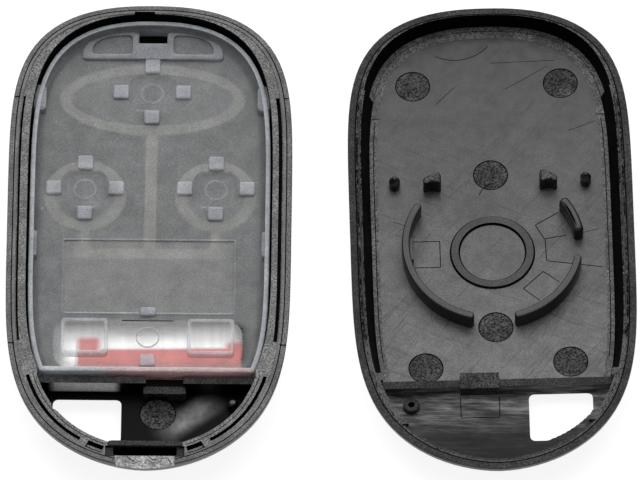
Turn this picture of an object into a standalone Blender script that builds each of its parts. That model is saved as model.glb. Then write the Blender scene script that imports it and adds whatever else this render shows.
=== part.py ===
"""Key fob cover, taken apart and laid open like a book.

The front half lies on its face with its keys and its silicone button pad inside.
The rear half lies on its back beside it, ready to swing over and close the case.
Each half is drawn around its own axis, with height zero at its rim, and is then
set down on the table. Lengths are in metres, +Y runs towards the top of the fob.
"""

import math

import bmesh
import bpy
from mathutils import Vector

# Egg-shaped outline that both halves share
CASE_WIDTH = 0.0364
CASE_LENGTH = 0.0694
TOP_WIDTH_POWER = 2.4
TOP_LENGTH_POWER = 5.3
BOTTOM_WIDTH_POWER = 1.83
BOTTOM_LENGTH_POWER = 4.2
OUTLINE_POINTS = 72
FINE_STEPS_PER_POINT = 16

# Outer shells: the floors inside set the depth, plus the plastic below them
FRONT_FLOOR_WALL = 0.0014
REAR_FLOOR_WALL = 0.0017
DOME_DEPTH_SHARES = (1.0, 0.97, 0.90, 0.78, 0.62, 0.42, 0.18, 0.0)
DOME_SIZE_SHARES = (0.72, 0.84, 0.915, 0.947, 0.961, 0.977, 0.995, 1.0)
DOME_CENTRE_SHARE = 0.4525

# How the two halves lie open
OPEN_GAP = 0.0075
LEAN = math.radians(1.1)
PARTING_GAP = 0.0001

# Button pad: how far it keeps inside the case, and its wall and floor
PAD_SIDE_MARGIN = 0.0028
PAD_TOP_MARGIN = 0.00155
PAD_BOTTOM_MARGIN = 0.0057
PAD_WALL = 0.0007
PAD_WALL_DROP = 0.0013
PAD_FACE_DROP = 0.0030
PAD_THICKNESS = 0.0010
PAD_CLEARANCE = 0.0003
PAD_SEAT_GAP = 0.0002
PAD_SEAT_WIDTH = 0.0018
PAD_FOOT_SIZE = 0.0019
PAD_FOOT_HEIGHT = 0.0007
PAD_FOOT_GAP = 0.0001

# Raised and sunk features of the button pad
WINDOW_MARGIN = 0.0045
WINDOW_LENGTH = 0.0108
WINDOW_GAP = 0.00135
WINDOW_SINK = 0.0004
BLOCK_GAP = 0.0020
BLOCK_MARGIN = 0.0044
BLOCK_LENGTH = 0.0053
BLOCK_HEIGHT = 0.0012
BLOCK_WALL = 0.0005
WING_GAP = 0.0018
WING_MARGIN = 0.0066
WING_TOP_MARGIN = 0.0002
WING_DROP = 0.0041
WING_HEIGHT = 0.0005
WING_STEPS = 6
STEM_WIDTH = 0.0020
STEM_GAP = 0.0002

# Keys: their places along the case, their caps and the flanges that hold them in
LOCK_PLACE_SHARE = 0.6715
ROUND_PLACE_SHARE = 0.2522
PANIC_FROM_WALL = 0.00605
LOCK_SIDE_MARGIN = 0.0051
LOCK_CAP_HEIGHT = 0.0076
ROUND_SIDE_GAP = 0.0004
ROUND_RIB_GAP = 0.00255
PANIC_SIDE_MARGIN = 0.0040
PANIC_CAP_HEIGHT = 0.0054
PANIC_CAP_CORNER = 0.0024
CAP_CLEARANCE = 0.00025
FLANGE_OVERHANG = 0.0014
PANIC_FLANGE_OVERHANG = 0.0007
FLANGE_THICKNESS = 0.0005
FLANGE_GAP = 0.0002
KEY_TRAVEL = 0.0005
KEY_STOP_GAP = 0.0002
CAP_RECESS = 0.0002
PLUNGER_WIDTH = 0.0053
PLUNGER_HEIGHT = 0.0048
PLUNGER_CHAMFER = 0.0009
PLUNGER_CLEARANCE = 0.0003
PLUNGER_SINK = 0.0001
PIP_RADIUS = 0.0014
PIP_HEIGHT = 0.0002
KEY_STEPS = 32

# Key carrier: a bar with one thin rib towards each key
BAR_OVERHANG = 0.0013
BAR_WIDTH = 0.0015
LONG_RIB_WIDTH = 0.0015
SHORT_RIB_WIDTH = 0.0012
RIB_GAP = 0.0003

# Rim groove of the front half and the tongue on the rear half that drops into it
GROOVE_INSET = 0.00115
GROOVE_WIDTH = 0.0005
GROOVE_DEPTH = 0.0011
TONGUE_CLEARANCE = 0.0001
TONGUE_HEIGHT = 0.0008
TONGUE_ROOT = 0.0006
GROOVE_TOP_SHARE = 0.643
GROOVE_BOTTOM_SHARE = 0.467
TONGUE_END_GAP = 0.0003
STRIP_STEPS = 14

# Key ring end: cross wall, pocket and hole, in both halves
CROSS_WALL_SHARE = 0.575
CROSS_WALL_THICKNESS = 0.00105
FRONT_CROSS_DROP = 0.0021
REAR_CROSS_DROP = 0.0023
RING_POCKET_WALL = 0.0029
RING_POCKET_TAPER = 0.0012
RING_POCKET_STRAIGHT_SHARE = 0.5
FRONT_RING_DROP = 0.0046
REAR_RING_DROP = 0.0039
HOLE_INNER_X = 0.0034
HOLE_SIDE_MARGIN = 0.0057
HOLE_WALL_GAP = 0.0007
HOLE_RIM = 0.0056
HOLE_FOOT_RIM = 0.0061
HOLE_ARC_RADIUS = 0.0134
HOLE_ARC_X = 0.0015
HOLE_CORNER = 0.0008
HOLE_ARC_POINTS = 48
CORNER_STEPS = 4
CORNER_ANGLE = math.radians(30.0)
CORNER_EDGE_SHARE = 0.45
ARC_STEPS = 10

# Notch and blocks at the middle of the cross walls
NOTCH_INNER_REACH = 0.0004
NOTCH_OUTER_X = 0.0050
NOTCH_DEPTH = 0.0008
NOTCH_BLOCK_REACH = 0.0010

# Locating boss in the front ring pocket and its socket in the rear one
BOSS_SIDE_MARGIN = 0.0072
BOSS_FROM_WALL = 0.0019
BOSS_RADIUS = 0.0007
BOSS_HEIGHT = 0.0014
SOCKET_WALL = 0.0004
SOCKET_CLEARANCE = 0.0001
SOCKET_HEIGHT = 0.0006
SOCKET_DEPTH = 0.0004

# Snap arch and pry lug at the bottom of the front rim
ARCH_WIDTH = 0.0099
ARCH_FROM_EDGE = 0.00405
ARCH_WALL = 0.0009
ARCH_FOOT_SHARE = 0.8
ARCH_DROP = 0.0002
SLOT_FROM_EDGE = 0.0020
SLOT_DEPTH = 0.0028
LUG_SIDE_GAP = 0.00025
LUG_SINK = 0.0006
RECESS_GAP = 0.00035
RECESS_LENGTH = 0.0031
RECESS_INSET = 0.0016
RECESS_WIDTH = 0.0009
RECESS_DEPTH = 0.0012

# Rear half: floor, battery well and board posts
REAR_WALL = 0.00165
REAR_FLOOR_DROP = 0.0029
WELL_OFFSET = 0.0006
WELL_RADIUS = 0.0106
WELL_WALL = 0.0010
WELL_HEIGHT = 0.0024
WELL_LEFT_START = math.radians(148.0)
WELL_LEFT_END = math.radians(254.0)
WELL_RIGHT_START = math.radians(-74.6)
WELL_RIGHT_END = math.radians(-12.5)
WELL_CATCH_START = math.radians(10.5)
WELL_CATCH_END = math.radians(34.0)
WELL_CATCH_WALL = 0.0013
SEAT_RING_RADIUS = 0.00535
SEAT_RING_WIDTH = 0.00112
SEAT_RING_HEIGHT = 0.0002
PIN_SIDE_MARGIN = 0.00595
PIN_PLACE_SHARE = 0.28
PIN_RADIUS = 0.00075
PIN_HEIGHT = 0.0019
PIN_POINT_SHARE = 0.7
PIN_TIP_SHARE = 0.3
POST_FROM_PIN = 0.00485
POST_WIDTH = 0.0021
POST_DEPTH = 0.0014
POST_HEIGHT = 0.0026

# Shared small values
ROOT = 0.0003
OVERRUN = 0.0010
ROUND_STEPS = 20

# Places worked out from the sizes above, with height zero at the rim
HALF_WIDTH = CASE_WIDTH / 2.0
HALF_LENGTH = CASE_LENGTH / 2.0
HALF_SPACING = CASE_WIDTH + OPEN_GAP
CROSS_WALL_Y = -HALF_LENGTH * CROSS_WALL_SHARE
CROSS_FOOT_Y = CROSS_WALL_Y - CROSS_WALL_THICKNESS
PAD_HALF_WIDTH = HALF_WIDTH - PAD_SIDE_MARGIN
PAD_TOP_REACH = HALF_LENGTH - PAD_TOP_MARGIN
PAD_BOTTOM_REACH = HALF_LENGTH - PAD_BOTTOM_MARGIN
PAD_LOW_Y = CROSS_WALL_Y + PAD_CLEARANCE
PAD_WALL_TOP = -PAD_WALL_DROP
PAD_FACE = -PAD_FACE_DROP
PAD_UNDERSIDE = PAD_FACE - PAD_THICKNESS
PAD_SEAT = PAD_UNDERSIDE - PAD_SEAT_GAP
FLANGE_TOP = PAD_UNDERSIDE - KEY_TRAVEL - KEY_STOP_GAP
FLANGE_BOTTOM = FLANGE_TOP - FLANGE_THICKNESS
KEY_FLOOR = FLANGE_BOTTOM - FLANGE_GAP
FRONT_DEPTH = FRONT_FLOOR_WALL - KEY_FLOOR
CAP_FACE = -FRONT_DEPTH + CAP_RECESS
REAR_FLOOR = -REAR_FLOOR_DROP
REAR_DEPTH = REAR_RING_DROP + REAR_FLOOR_WALL
LOCK_Y = HALF_LENGTH * LOCK_PLACE_SHARE
ROUND_Y = HALF_LENGTH * ROUND_PLACE_SHARE
PANIC_Y = CROSS_WALL_Y + PANIC_FROM_WALL
CAVITY_HALF_WIDTH = PAD_HALF_WIDTH + PAD_CLEARANCE - PAD_SEAT_WIDTH
ROUND_ROOM = CAVITY_HALF_WIDTH - ROUND_SIDE_GAP - ROUND_RIB_GAP - LONG_RIB_WIDTH / 2.0
ROUND_CAP_RADIUS = ROUND_ROOM / 2.0 - FLANGE_OVERHANG
ROUND_X = CAVITY_HALF_WIDTH - ROUND_SIDE_GAP - FLANGE_OVERHANG - ROUND_CAP_RADIUS
PAD_FOOT_REACH = PLUNGER_WIDTH / 2.0 + PLUNGER_CLEARANCE + PAD_FOOT_GAP + PAD_FOOT_SIZE / 2.0
BLOCK_INNER_X = PLUNGER_WIDTH / 2.0 + PLUNGER_CLEARANCE + BLOCK_GAP
BLOCK_OUTER_X = PAD_HALF_WIDTH - BLOCK_MARGIN
BLOCK_TOP_Y = PANIC_Y + BLOCK_LENGTH / 2.0
BLOCK_BOTTOM_Y = PANIC_Y - BLOCK_LENGTH / 2.0
WING_OUTER_X = PAD_HALF_WIDTH - WING_MARGIN
WING_TOP_Y = PAD_TOP_REACH - PAD_WALL - WING_TOP_MARGIN
WING_BOTTOM_Y = WING_TOP_Y - WING_DROP
STEM_BOTTOM_Y = LOCK_Y + PLUNGER_HEIGHT / 2.0 + PLUNGER_CLEARANCE + STEM_GAP
GROOVE_TOP_Y = HALF_LENGTH * GROOVE_TOP_SHARE
GROOVE_BOTTOM_Y = -HALF_LENGTH * GROOVE_BOTTOM_SHARE
FRONT_RING_FLOOR = -FRONT_RING_DROP
REAR_RING_FLOOR = -REAR_RING_DROP
BOSS_X = HALF_WIDTH - BOSS_SIDE_MARGIN
BOSS_Y = CROSS_FOOT_Y - BOSS_FROM_WALL
ARCH_TOP_Y = -HALF_LENGTH + ARCH_FROM_EDGE
SLOT_BOTTOM_Y = -HALF_LENGTH + SLOT_FROM_EDGE
WELL_Y = -WELL_OFFSET
PIN_X = HALF_WIDTH - PIN_SIDE_MARGIN
PIN_Y = HALF_LENGTH * PIN_PLACE_SHARE
POST_X = PIN_X - POST_FROM_PIN

KEYS = {
    "lock_button": (0.0, LOCK_Y),
    "unlock_button": (-ROUND_X, ROUND_Y),
    "trunk_button": (ROUND_X, ROUND_Y),
    "panic_button": (0.0, PANIC_Y),
}


def clear_scene():
    for old in list(bpy.data.objects):
        bpy.data.objects.remove(old, do_unlink=True)


def plastic(name, colour, roughness):
    """A Principled material in the part's own colour."""
    made = bpy.data.materials.new(name)
    made.use_nodes = True
    shader = made.node_tree.nodes["Principled BSDF"]
    shader.inputs["Base Color"].default_value = (*colour, 1.0)
    shader.inputs["Roughness"].default_value = roughness
    made.diffuse_color = (*colour, 1.0)
    return made


# Outlines: every loop runs counter-clockwise and is a list of flat vectors

def egg_loop(half_width, top_reach, bottom_reach, count=OUTLINE_POINTS):
    """The egg curve, with its points evenly spaced along it."""
    fine = []
    steps = count * FINE_STEPS_PER_POINT
    for step in range(steps):
        turn = math.tau * step / steps
        across = math.cos(turn)
        along = math.sin(turn)
        upper = along >= 0.0
        width_power = TOP_WIDTH_POWER if upper else BOTTOM_WIDTH_POWER
        length_power = TOP_LENGTH_POWER if upper else BOTTOM_LENGTH_POWER
        reach = top_reach if upper else bottom_reach
        x = math.copysign(abs(across) ** (2.0 / width_power), across) * half_width
        y = math.copysign(abs(along) ** (2.0 / length_power), along) * reach
        fine.append(Vector((x, y)))
    return even_loop(fine, count)


def case_outline():
    return egg_loop(HALF_WIDTH, HALF_LENGTH, HALF_LENGTH)


def even_loop(fine, count):
    """A closed loop picked at equal steps along a finer one."""
    travelled = [0.0]
    for index, point in enumerate(fine):
        step = (fine[(index + 1) % len(fine)] - point).length
        travelled.append(travelled[-1] + step)
    picked = []
    index = 0
    for number in range(count):
        wanted = travelled[-1] * number / count
        while travelled[index + 1] < wanted:
            index += 1
        span = travelled[index + 1] - travelled[index]
        share = (wanted - travelled[index]) / span
        picked.append(fine[index].lerp(fine[(index + 1) % len(fine)], share))
    return picked


def inset_loop(loop, inset):
    """The loop moved inwards along its own normals."""
    moved = []
    for index, point in enumerate(loop):
        along = (loop[(index + 1) % len(loop)] - loop[index - 1]).normalized()
        moved.append(point + Vector((-along.y, along.x)) * inset)
    return moved


def scaled_loop(loop, share, centre):
    return [centre + (point - centre) * share for point in loop]


def mirrored_loop(loop):
    return [Vector((-point.x, point.y)) for point in reversed(loop)]


def clipped_loop(loop, level, keep_above, axis=1):
    """The part of a loop on one side of a line across the case, or along it."""
    kept = []
    sense = 1.0 if keep_above else -1.0
    for index, point in enumerate(loop):
        before = loop[index - 1]
        here = (point[axis] - level) * sense
        there = (before[axis] - level) * sense
        if (here > 0.0) != (there > 0.0):
            kept.append(before.lerp(point, there / (there - here)))
        if here > 0.0:
            kept.append(point)
    return kept


def rounded_corners(loop, radius):
    """The loop with an arc at each sharp corner, kept within its two edges."""
    made = []
    for index, point in enumerate(loop):
        back = loop[index - 1] - point
        ahead = loop[(index + 1) % len(loop)] - point
        turn = math.pi - back.angle(ahead)
        if turn < CORNER_ANGLE:
            made.append(point)
            continue
        room = CORNER_EDGE_SHARE * min(back.length, ahead.length)
        setback = min(radius * math.tan(turn / 2.0), room)
        first = point + back.normalized() * setback
        last = point + ahead.normalized() * setback
        for step in range(CORNER_STEPS + 1):
            share = step / CORNER_STEPS
            made.append(first.lerp(point, share).lerp(point.lerp(last, share), share))
    return made


def ellipse_loop(centre_x, centre_y, half_width, half_height, count):
    loop = []
    for step in range(count):
        turn = math.tau * step / count
        x = centre_x + half_width * math.cos(turn)
        y = centre_y + half_height * math.sin(turn)
        loop.append(Vector((x, y)))
    return loop


def box_loop(low_x, high_x, low_y, high_y):
    return [Vector((low_x, low_y)), Vector((high_x, low_y)),
            Vector((high_x, high_y)), Vector((low_x, high_y))]


def rounded_box_loop(centre_x, centre_y, half_width, half_height, corner):
    """A box whose four corners are quarter circles."""
    loop = []
    for quarter in range(4):
        side_x = 1.0 if quarter in (0, 3) else -1.0
        side_y = 1.0 if quarter in (0, 1) else -1.0
        middle_x = centre_x + side_x * (half_width - corner)
        middle_y = centre_y + side_y * (half_height - corner)
        for step in range(CORNER_STEPS + 1):
            turn = math.pi / 2.0 * (quarter + step / CORNER_STEPS)
            x = middle_x + corner * math.cos(turn)
            y = middle_y + corner * math.sin(turn)
            loop.append(Vector((x, y)))
    return loop


def octagon_loop(centre_x, centre_y, half_width, half_height, chamfer):
    """A box with its corners cut off."""
    short_x = half_width - chamfer
    short_y = half_height - chamfer
    corners = ((half_width, -short_y), (half_width, short_y),
               (short_x, half_height), (-short_x, half_height),
               (-half_width, short_y), (-half_width, -short_y),
               (-short_x, -half_height), (short_x, -half_height))
    return [Vector((centre_x + x, centre_y + y)) for x, y in corners]


def arc_wall_loop(centre_y, radius, wall, start, end):
    """A curved wall around the battery, seen from above."""
    outer = []
    inner = []
    for step in range(ARC_STEPS + 1):
        turn = start + (end - start) * step / ARC_STEPS
        ray = Vector((math.cos(turn), math.sin(turn)))
        middle = Vector((0.0, centre_y))
        outer.append(middle + ray * (radius + wall))
        inner.append(middle + ray * radius)
    return outer + inner[::-1]


def case_half_width_at(y):
    """Half the width of the case at one place along its length."""
    upper = y >= 0.0
    length_power = TOP_LENGTH_POWER if upper else BOTTOM_LENGTH_POWER
    width_power = TOP_WIDTH_POWER if upper else BOTTOM_WIDTH_POWER
    share = abs(y) / HALF_LENGTH
    return HALF_WIDTH * (1.0 - share ** length_power) ** (1.0 / width_power)


def case_bottom_at(x):
    """The lowest edge of the case at one place across its width."""
    share = abs(x) / HALF_WIDTH
    reach = (1.0 - share ** BOTTOM_WIDTH_POWER) ** (1.0 / BOTTOM_LENGTH_POWER)
    return -HALF_LENGTH * reach


def side_strip_loop(inset, width, low_y, high_y):
    """A narrow strip that follows the right side of the case."""
    outer = []
    inner = []
    for step in range(STRIP_STEPS + 1):
        y = low_y + (high_y - low_y) * step / STRIP_STEPS
        edge = case_half_width_at(y)
        outer.append(Vector((edge - inset, y)))
        inner.append(Vector((edge - inset - width, y)))
    return outer + inner[::-1]


def bottom_strip_loop(inset, width, low_x, high_x):
    """A narrow strip that follows the bottom of the case."""
    outer = []
    inner = []
    for step in range(CORNER_STEPS + 1):
        x = low_x + (high_x - low_x) * step / CORNER_STEPS
        edge = case_bottom_at(x)
        outer.append(Vector((x, edge + inset)))
        inner.append(Vector((x, edge + inset + width)))
    return outer + inner[::-1]


def ring_hole_loop():
    """Key ring hole of the front half: straight sides and a round outer edge."""
    low_y = -HALF_LENGTH + HOLE_RIM
    loop = ellipse_loop(-HOLE_ARC_X, low_y + HOLE_ARC_RADIUS,
                        HOLE_ARC_RADIUS, HOLE_ARC_RADIUS, HOLE_ARC_POINTS)
    loop = clipped_loop(loop, HOLE_SIDE_MARGIN - HALF_WIDTH, True, 0)
    loop = clipped_loop(loop, -HOLE_INNER_X, False, 0)
    loop = clipped_loop(loop, CROSS_FOOT_Y - HOLE_WALL_GAP, False)
    loop = clipped_loop(loop, -HALF_LENGTH + HOLE_FOOT_RIM, True)
    return rounded_corners(loop, HOLE_CORNER)


def wing_loop():
    """Right half of the raised wings at the top of the pad, under its arch."""
    low_y = WING_BOTTOM_Y
    loop = [Vector((WING_GAP, low_y))]
    for step in range(WING_STEPS + 1):
        turn = math.pi / 2.0 * step / WING_STEPS
        x = WING_GAP + (WING_OUTER_X - WING_GAP) * math.cos(turn)
        y = low_y + (WING_TOP_Y - low_y) * math.sin(turn)
        loop.append(Vector((x, y)))
    return loop


# Solids and the cuts and joins between them

def loft(rings, name="solid"):
    """A closed solid through flat rings of equal count, lowest ring first."""
    shape = bmesh.new()
    rows = [[shape.verts.new((p.x, p.y, height)) for p in loop] for loop, height in rings]
    count = len(rows[0])
    for lower, upper in zip(rows, rows[1:]):
        for index in range(count):
            after = (index + 1) % count
            shape.faces.new((lower[index], lower[after], upper[after], upper[index]))
    shape.faces.new(rows[0][::-1])
    shape.faces.new(rows[-1])
    mesh = bpy.data.meshes.new(name)
    shape.to_mesh(mesh)
    shape.free()
    made = bpy.data.objects.new(name, mesh)
    bpy.context.scene.collection.objects.link(made)
    return made


def prism(loop, low, high):
    return loft([(loop, low), (loop, high)])


def carve(target, tool, operation="DIFFERENCE"):
    """Cuts or joins one solid with another, and removes the tool."""
    change = target.modifiers.new("change", "BOOLEAN")
    change.operation = operation
    change.solver = "EXACT"
    change.object = tool
    graph = bpy.context.evaluated_depsgraph_get()
    result = bpy.data.meshes.new_from_object(target.evaluated_get(graph))
    target.modifiers.clear()
    target.data = result
    bpy.data.objects.remove(tool, do_unlink=True)


def add(target, tool):
    carve(target, tool, "UNION")


def finish(target, name, material):
    """Names the solid, shades it and gives it its material."""
    target.name = name
    target.data.name = name
    target.data.materials.clear()
    target.data.materials.append(material)
    target.data.shade_smooth()
    target.data.set_sharp_from_angle(angle=math.radians(28.0))
    return target


def dome(depth):
    """The outer body of one half: steep at the top, sloping at the ring end, flat below."""
    outline = case_outline()
    centre = Vector((0.0, HALF_LENGTH * DOME_CENTRE_SHARE))
    rings = []
    for depth_share, size_share in zip(DOME_DEPTH_SHARES, DOME_SIZE_SHARES):
        rings.append((scaled_loop(outline, size_share, centre), -depth * depth_share))
    return loft(rings)


def pad_outline(clearance, inset=0.0):
    """Outline of the button pad, of its pocket, or of what lies inside them."""
    loop = egg_loop(PAD_HALF_WIDTH + clearance, PAD_TOP_REACH + clearance,
                    PAD_BOTTOM_REACH + clearance)
    return clipped_loop(inset_loop(loop, inset), PAD_LOW_Y - clearance + inset, True)


def ring_pocket(floor):
    """Cutter for the pocket around the ring hole, whose wall leans in like the shell."""
    upright = inset_loop(case_outline(), RING_POCKET_WALL)
    foot = inset_loop(case_outline(), RING_POCKET_WALL + RING_POCKET_TAPER)
    tool = loft([(foot, floor), (upright, floor * RING_POCKET_STRAIGHT_SHARE),
                 (upright, OVERRUN)])
    below_wall = box_loop(-CASE_WIDTH, CASE_WIDTH, -CASE_LENGTH, CROSS_FOOT_Y)
    carve(tool, prism(below_wall, floor - OVERRUN, OVERRUN + OVERRUN), "INTERSECT")
    return tool


def cap_loop(name, growth):
    """Outline of one key cap, grown for its hole or for its flange."""
    x, y = KEYS[name]
    if name == "lock_button":
        half_width = PAD_HALF_WIDTH - LOCK_SIDE_MARGIN + growth
        return ellipse_loop(x, y, half_width, LOCK_CAP_HEIGHT / 2.0 + growth, KEY_STEPS)
    if name == "panic_button":
        half_width = PAD_HALF_WIDTH - PANIC_SIDE_MARGIN + growth
        half_height = PANIC_CAP_HEIGHT / 2.0 + growth
        return rounded_box_loop(x, y, half_width, half_height, PANIC_CAP_CORNER)
    radius = ROUND_CAP_RADIUS + growth
    return ellipse_loop(x, y, radius, radius, KEY_STEPS)


def front_cover(material):
    """Front half: pad pocket, key holes, ring pocket, groove and snap arch."""
    body = dome(FRONT_DEPTH)
    pocket = pad_outline(PAD_CLEARANCE)
    carve(body, prism(pocket, PAD_SEAT, OVERRUN))
    cavity = pad_outline(PAD_CLEARANCE, PAD_SEAT_WIDTH)
    carve(body, prism(cavity, KEY_FLOOR, OVERRUN))
    carve(body, ring_pocket(FRONT_RING_FLOOR))
    for name in KEYS:
        hole = cap_loop(name, CAP_CLEARANCE)
        carve(body, prism(hole, -FRONT_DEPTH - OVERRUN, PAD_SEAT))
    carve(body, prism(ring_hole_loop(), -FRONT_DEPTH - OVERRUN, OVERRUN))
    lower_cross_wall(body, -FRONT_CROSS_DROP, CROSS_WALL_Y + PAD_CLEARANCE / 2.0)
    block = box_loop(-NOTCH_INNER_REACH, NOTCH_OUTER_X,
                     CROSS_FOOT_Y - NOTCH_BLOCK_REACH, CROSS_FOOT_Y + ROOT)
    notch_floor = -FRONT_CROSS_DROP - NOTCH_DEPTH
    add(body, prism(block, FRONT_RING_FLOOR - ROOT, notch_floor))
    notch = box_loop(ROOT - NOTCH_INNER_REACH, NOTCH_OUTER_X - ROOT,
                     CROSS_FOOT_Y - ROOT, CROSS_WALL_Y + PAD_CLEARANCE / 2.0)
    carve(body, prism(notch, notch_floor, OVERRUN))
    groove = side_strip_loop(GROOVE_INSET, GROOVE_WIDTH, GROOVE_BOTTOM_Y, GROOVE_TOP_Y)
    carve(body, prism(groove, -GROOVE_DEPTH, OVERRUN))
    carve(body, prism(mirrored_loop(groove), -GROOVE_DEPTH, OVERRUN))
    snap_arch(body)
    boss = ellipse_loop(BOSS_X, BOSS_Y, BOSS_RADIUS, BOSS_RADIUS, ROUND_STEPS)
    add(body, prism(boss, FRONT_RING_FLOOR - ROOT, FRONT_RING_FLOOR + BOSS_HEIGHT))
    return finish(body, "front_cover", material)


def lower_cross_wall(body, top, high_y):
    """Brings the wall between the two pockets down to its own height."""
    reach = case_half_width_at(CROSS_FOOT_Y) - RING_POCKET_WALL - ROOT
    strip = box_loop(-reach, reach, CROSS_FOOT_Y - ROOT, high_y)
    carve(body, prism(strip, top, OVERRUN))


def snap_arch(body):
    """Arch wall, the slot behind it, the pry lug and the two side recesses."""
    half = ARCH_WIDTH / 2.0
    foot = box_loop(-half, half, ARCH_TOP_Y - ARCH_WALL * ARCH_FOOT_SHARE, ARCH_TOP_Y)
    add(body, prism(foot, FRONT_RING_FLOOR - ROOT / 3.0, -ARCH_DROP))
    arch = box_loop(-half, half, SLOT_BOTTOM_Y + ROOT, ARCH_TOP_Y)
    add(body, prism(arch, -SLOT_DEPTH - ROOT - ROOT, -ARCH_DROP))
    slot_half = half - ARCH_WALL
    slot = box_loop(-slot_half, slot_half, SLOT_BOTTOM_Y, ARCH_TOP_Y - ARCH_WALL)
    carve(body, prism(slot, -SLOT_DEPTH, OVERRUN))
    lug_half = slot_half - LUG_SIDE_GAP
    lug = box_loop(-lug_half, lug_half, -HALF_LENGTH - OVERRUN, SLOT_BOTTOM_Y + ROOT)
    carve(body, prism(lug, -LUG_SINK, OVERRUN))
    inner_x = half + RECESS_GAP
    recess = bottom_strip_loop(RECESS_INSET, RECESS_WIDTH, inner_x, inner_x + RECESS_LENGTH)
    carve(body, prism(recess, -RECESS_DEPTH, OVERRUN))
    carve(body, prism(mirrored_loop(recess), -RECESS_DEPTH, OVERRUN))


def plunger_loop(name, growth):
    x, y = KEYS[name]
    return octagon_loop(x, y, PLUNGER_WIDTH / 2.0 + growth,
                        PLUNGER_HEIGHT / 2.0 + growth, PLUNGER_CHAMFER)


def key_button(name, material):
    """One key: its cap in the hole, its flange inside, its plunger in the pad."""
    overhang = PANIC_FLANGE_OVERHANG if name == "panic_button" else FLANGE_OVERHANG
    body = prism(cap_loop(name, overhang), FLANGE_BOTTOM, FLANGE_TOP)
    add(body, prism(cap_loop(name, 0.0), CAP_FACE, FLANGE_BOTTOM + FLANGE_THICKNESS / 2.0))
    plunger_low = FLANGE_BOTTOM + FLANGE_THICKNESS / 2.0
    plunger_top = PAD_FACE - PLUNGER_SINK
    add(body, prism(plunger_loop(name, 0.0), plunger_low, plunger_top))
    x, y = KEYS[name]
    pip = ellipse_loop(x, y, PIP_RADIUS, PIP_RADIUS, ROUND_STEPS)
    add(body, prism(pip, plunger_top - ROOT, plunger_top + PIP_HEIGHT))
    return finish(body, name, material)


def key_carrier(material):
    """The bar across the case with a thin rib that runs up to each key."""
    half_bar = BAR_WIDTH / 2.0
    reach = ROUND_X + BAR_OVERHANG
    body = prism(box_loop(-reach, reach, -half_bar, half_bar), FLANGE_BOTTOM, FLANGE_TOP)
    lock_edge = LOCK_Y - LOCK_CAP_HEIGHT / 2.0 - FLANGE_OVERHANG
    round_edge = ROUND_Y - ROUND_CAP_RADIUS - FLANGE_OVERHANG
    ribs = ((0.0, LONG_RIB_WIDTH, lock_edge), (-ROUND_X, SHORT_RIB_WIDTH, round_edge),
            (ROUND_X, SHORT_RIB_WIDTH, round_edge))
    for x, width, edge in ribs:
        rib = box_loop(x - width / 2.0, x + width / 2.0, 0.0, edge - RIB_GAP)
        add(body, prism(rib, FLANGE_BOTTOM, FLANGE_TOP))
    return finish(body, "key_carrier", material)


def button_pad(material):
    """Silicone pad: a thin floor in an upstanding wall, with feet and blocks."""
    outline = pad_outline(0.0)
    body = prism(outline, PAD_UNDERSIDE, PAD_WALL_TOP)
    carve(body, prism(pad_outline(0.0, PAD_WALL), PAD_FACE, OVERRUN))
    for name in KEYS:
        opening = plunger_loop(name, PLUNGER_CLEARANCE)
        carve(body, prism(opening, PAD_UNDERSIDE - OVERRUN, OVERRUN))
    window_half = PAD_HALF_WIDTH - WINDOW_MARGIN
    window_low = BLOCK_TOP_Y + WINDOW_GAP
    window = box_loop(-window_half, window_half, window_low, window_low + WINDOW_LENGTH)
    carve(body, prism(window, PAD_FACE - WINDOW_SINK, OVERRUN))
    pad_feet(body)
    pad_blocks(body)
    wing = wing_loop()
    wing_top = PAD_FACE + WING_HEIGHT
    add(body, prism(wing, PAD_FACE - ROOT, wing_top))
    add(body, prism(mirrored_loop(wing), PAD_FACE - ROOT, wing_top))
    stem = box_loop(-STEM_WIDTH / 2.0, STEM_WIDTH / 2.0,
                    STEM_BOTTOM_Y, WING_BOTTOM_Y + PAD_FOOT_SIZE)
    bridge = box_loop(-WING_GAP - ROOT, WING_GAP + ROOT,
                      WING_BOTTOM_Y, WING_BOTTOM_Y + PAD_FOOT_SIZE)
    add(body, prism(stem, PAD_FACE - ROOT, PAD_FACE + PAD_FOOT_HEIGHT))
    add(body, prism(bridge, PAD_FACE - ROOT, wing_top))
    return finish(body, "button_pad", material)


def pad_feet(body):
    """Small square feet around the plungers, which hold up the circuit board."""
    half = PAD_FOOT_SIZE / 2.0
    reach = PAD_FOOT_REACH
    root = PAD_UNDERSIDE + ROOT
    around = ((0.0, reach), (-reach, 0.0), (reach, 0.0), (0.0, -reach))
    for name in ("lock_button", "unlock_button", "trunk_button"):
        x, y = KEYS[name]
        for step_x, step_y in around:
            if name == "lock_button" and step_y > 0.0:
                continue
            foot = box_loop(x + step_x - half, x + step_x + half,
                            y + step_y - half, y + step_y + half)
            add(body, prism(foot, root, PAD_FACE + PAD_FOOT_HEIGHT))


def pad_blocks(body):
    """Two hollow blocks beside the panic key."""
    for side in (-1.0, 1.0):
        low_x = min(side * BLOCK_INNER_X, side * BLOCK_OUTER_X)
        high_x = max(side * BLOCK_INNER_X, side * BLOCK_OUTER_X)
        block = box_loop(low_x, high_x, BLOCK_BOTTOM_Y, BLOCK_TOP_Y)
        add(body, prism(block, PAD_UNDERSIDE + ROOT, PAD_FACE + BLOCK_HEIGHT))
        hollow = box_loop(low_x + BLOCK_WALL, high_x - BLOCK_WALL,
                          BLOCK_BOTTOM_Y + BLOCK_WALL, BLOCK_TOP_Y - BLOCK_WALL)
        carve(body, prism(hollow, PAD_FACE + ROOT / 2.0, OVERRUN))


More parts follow.
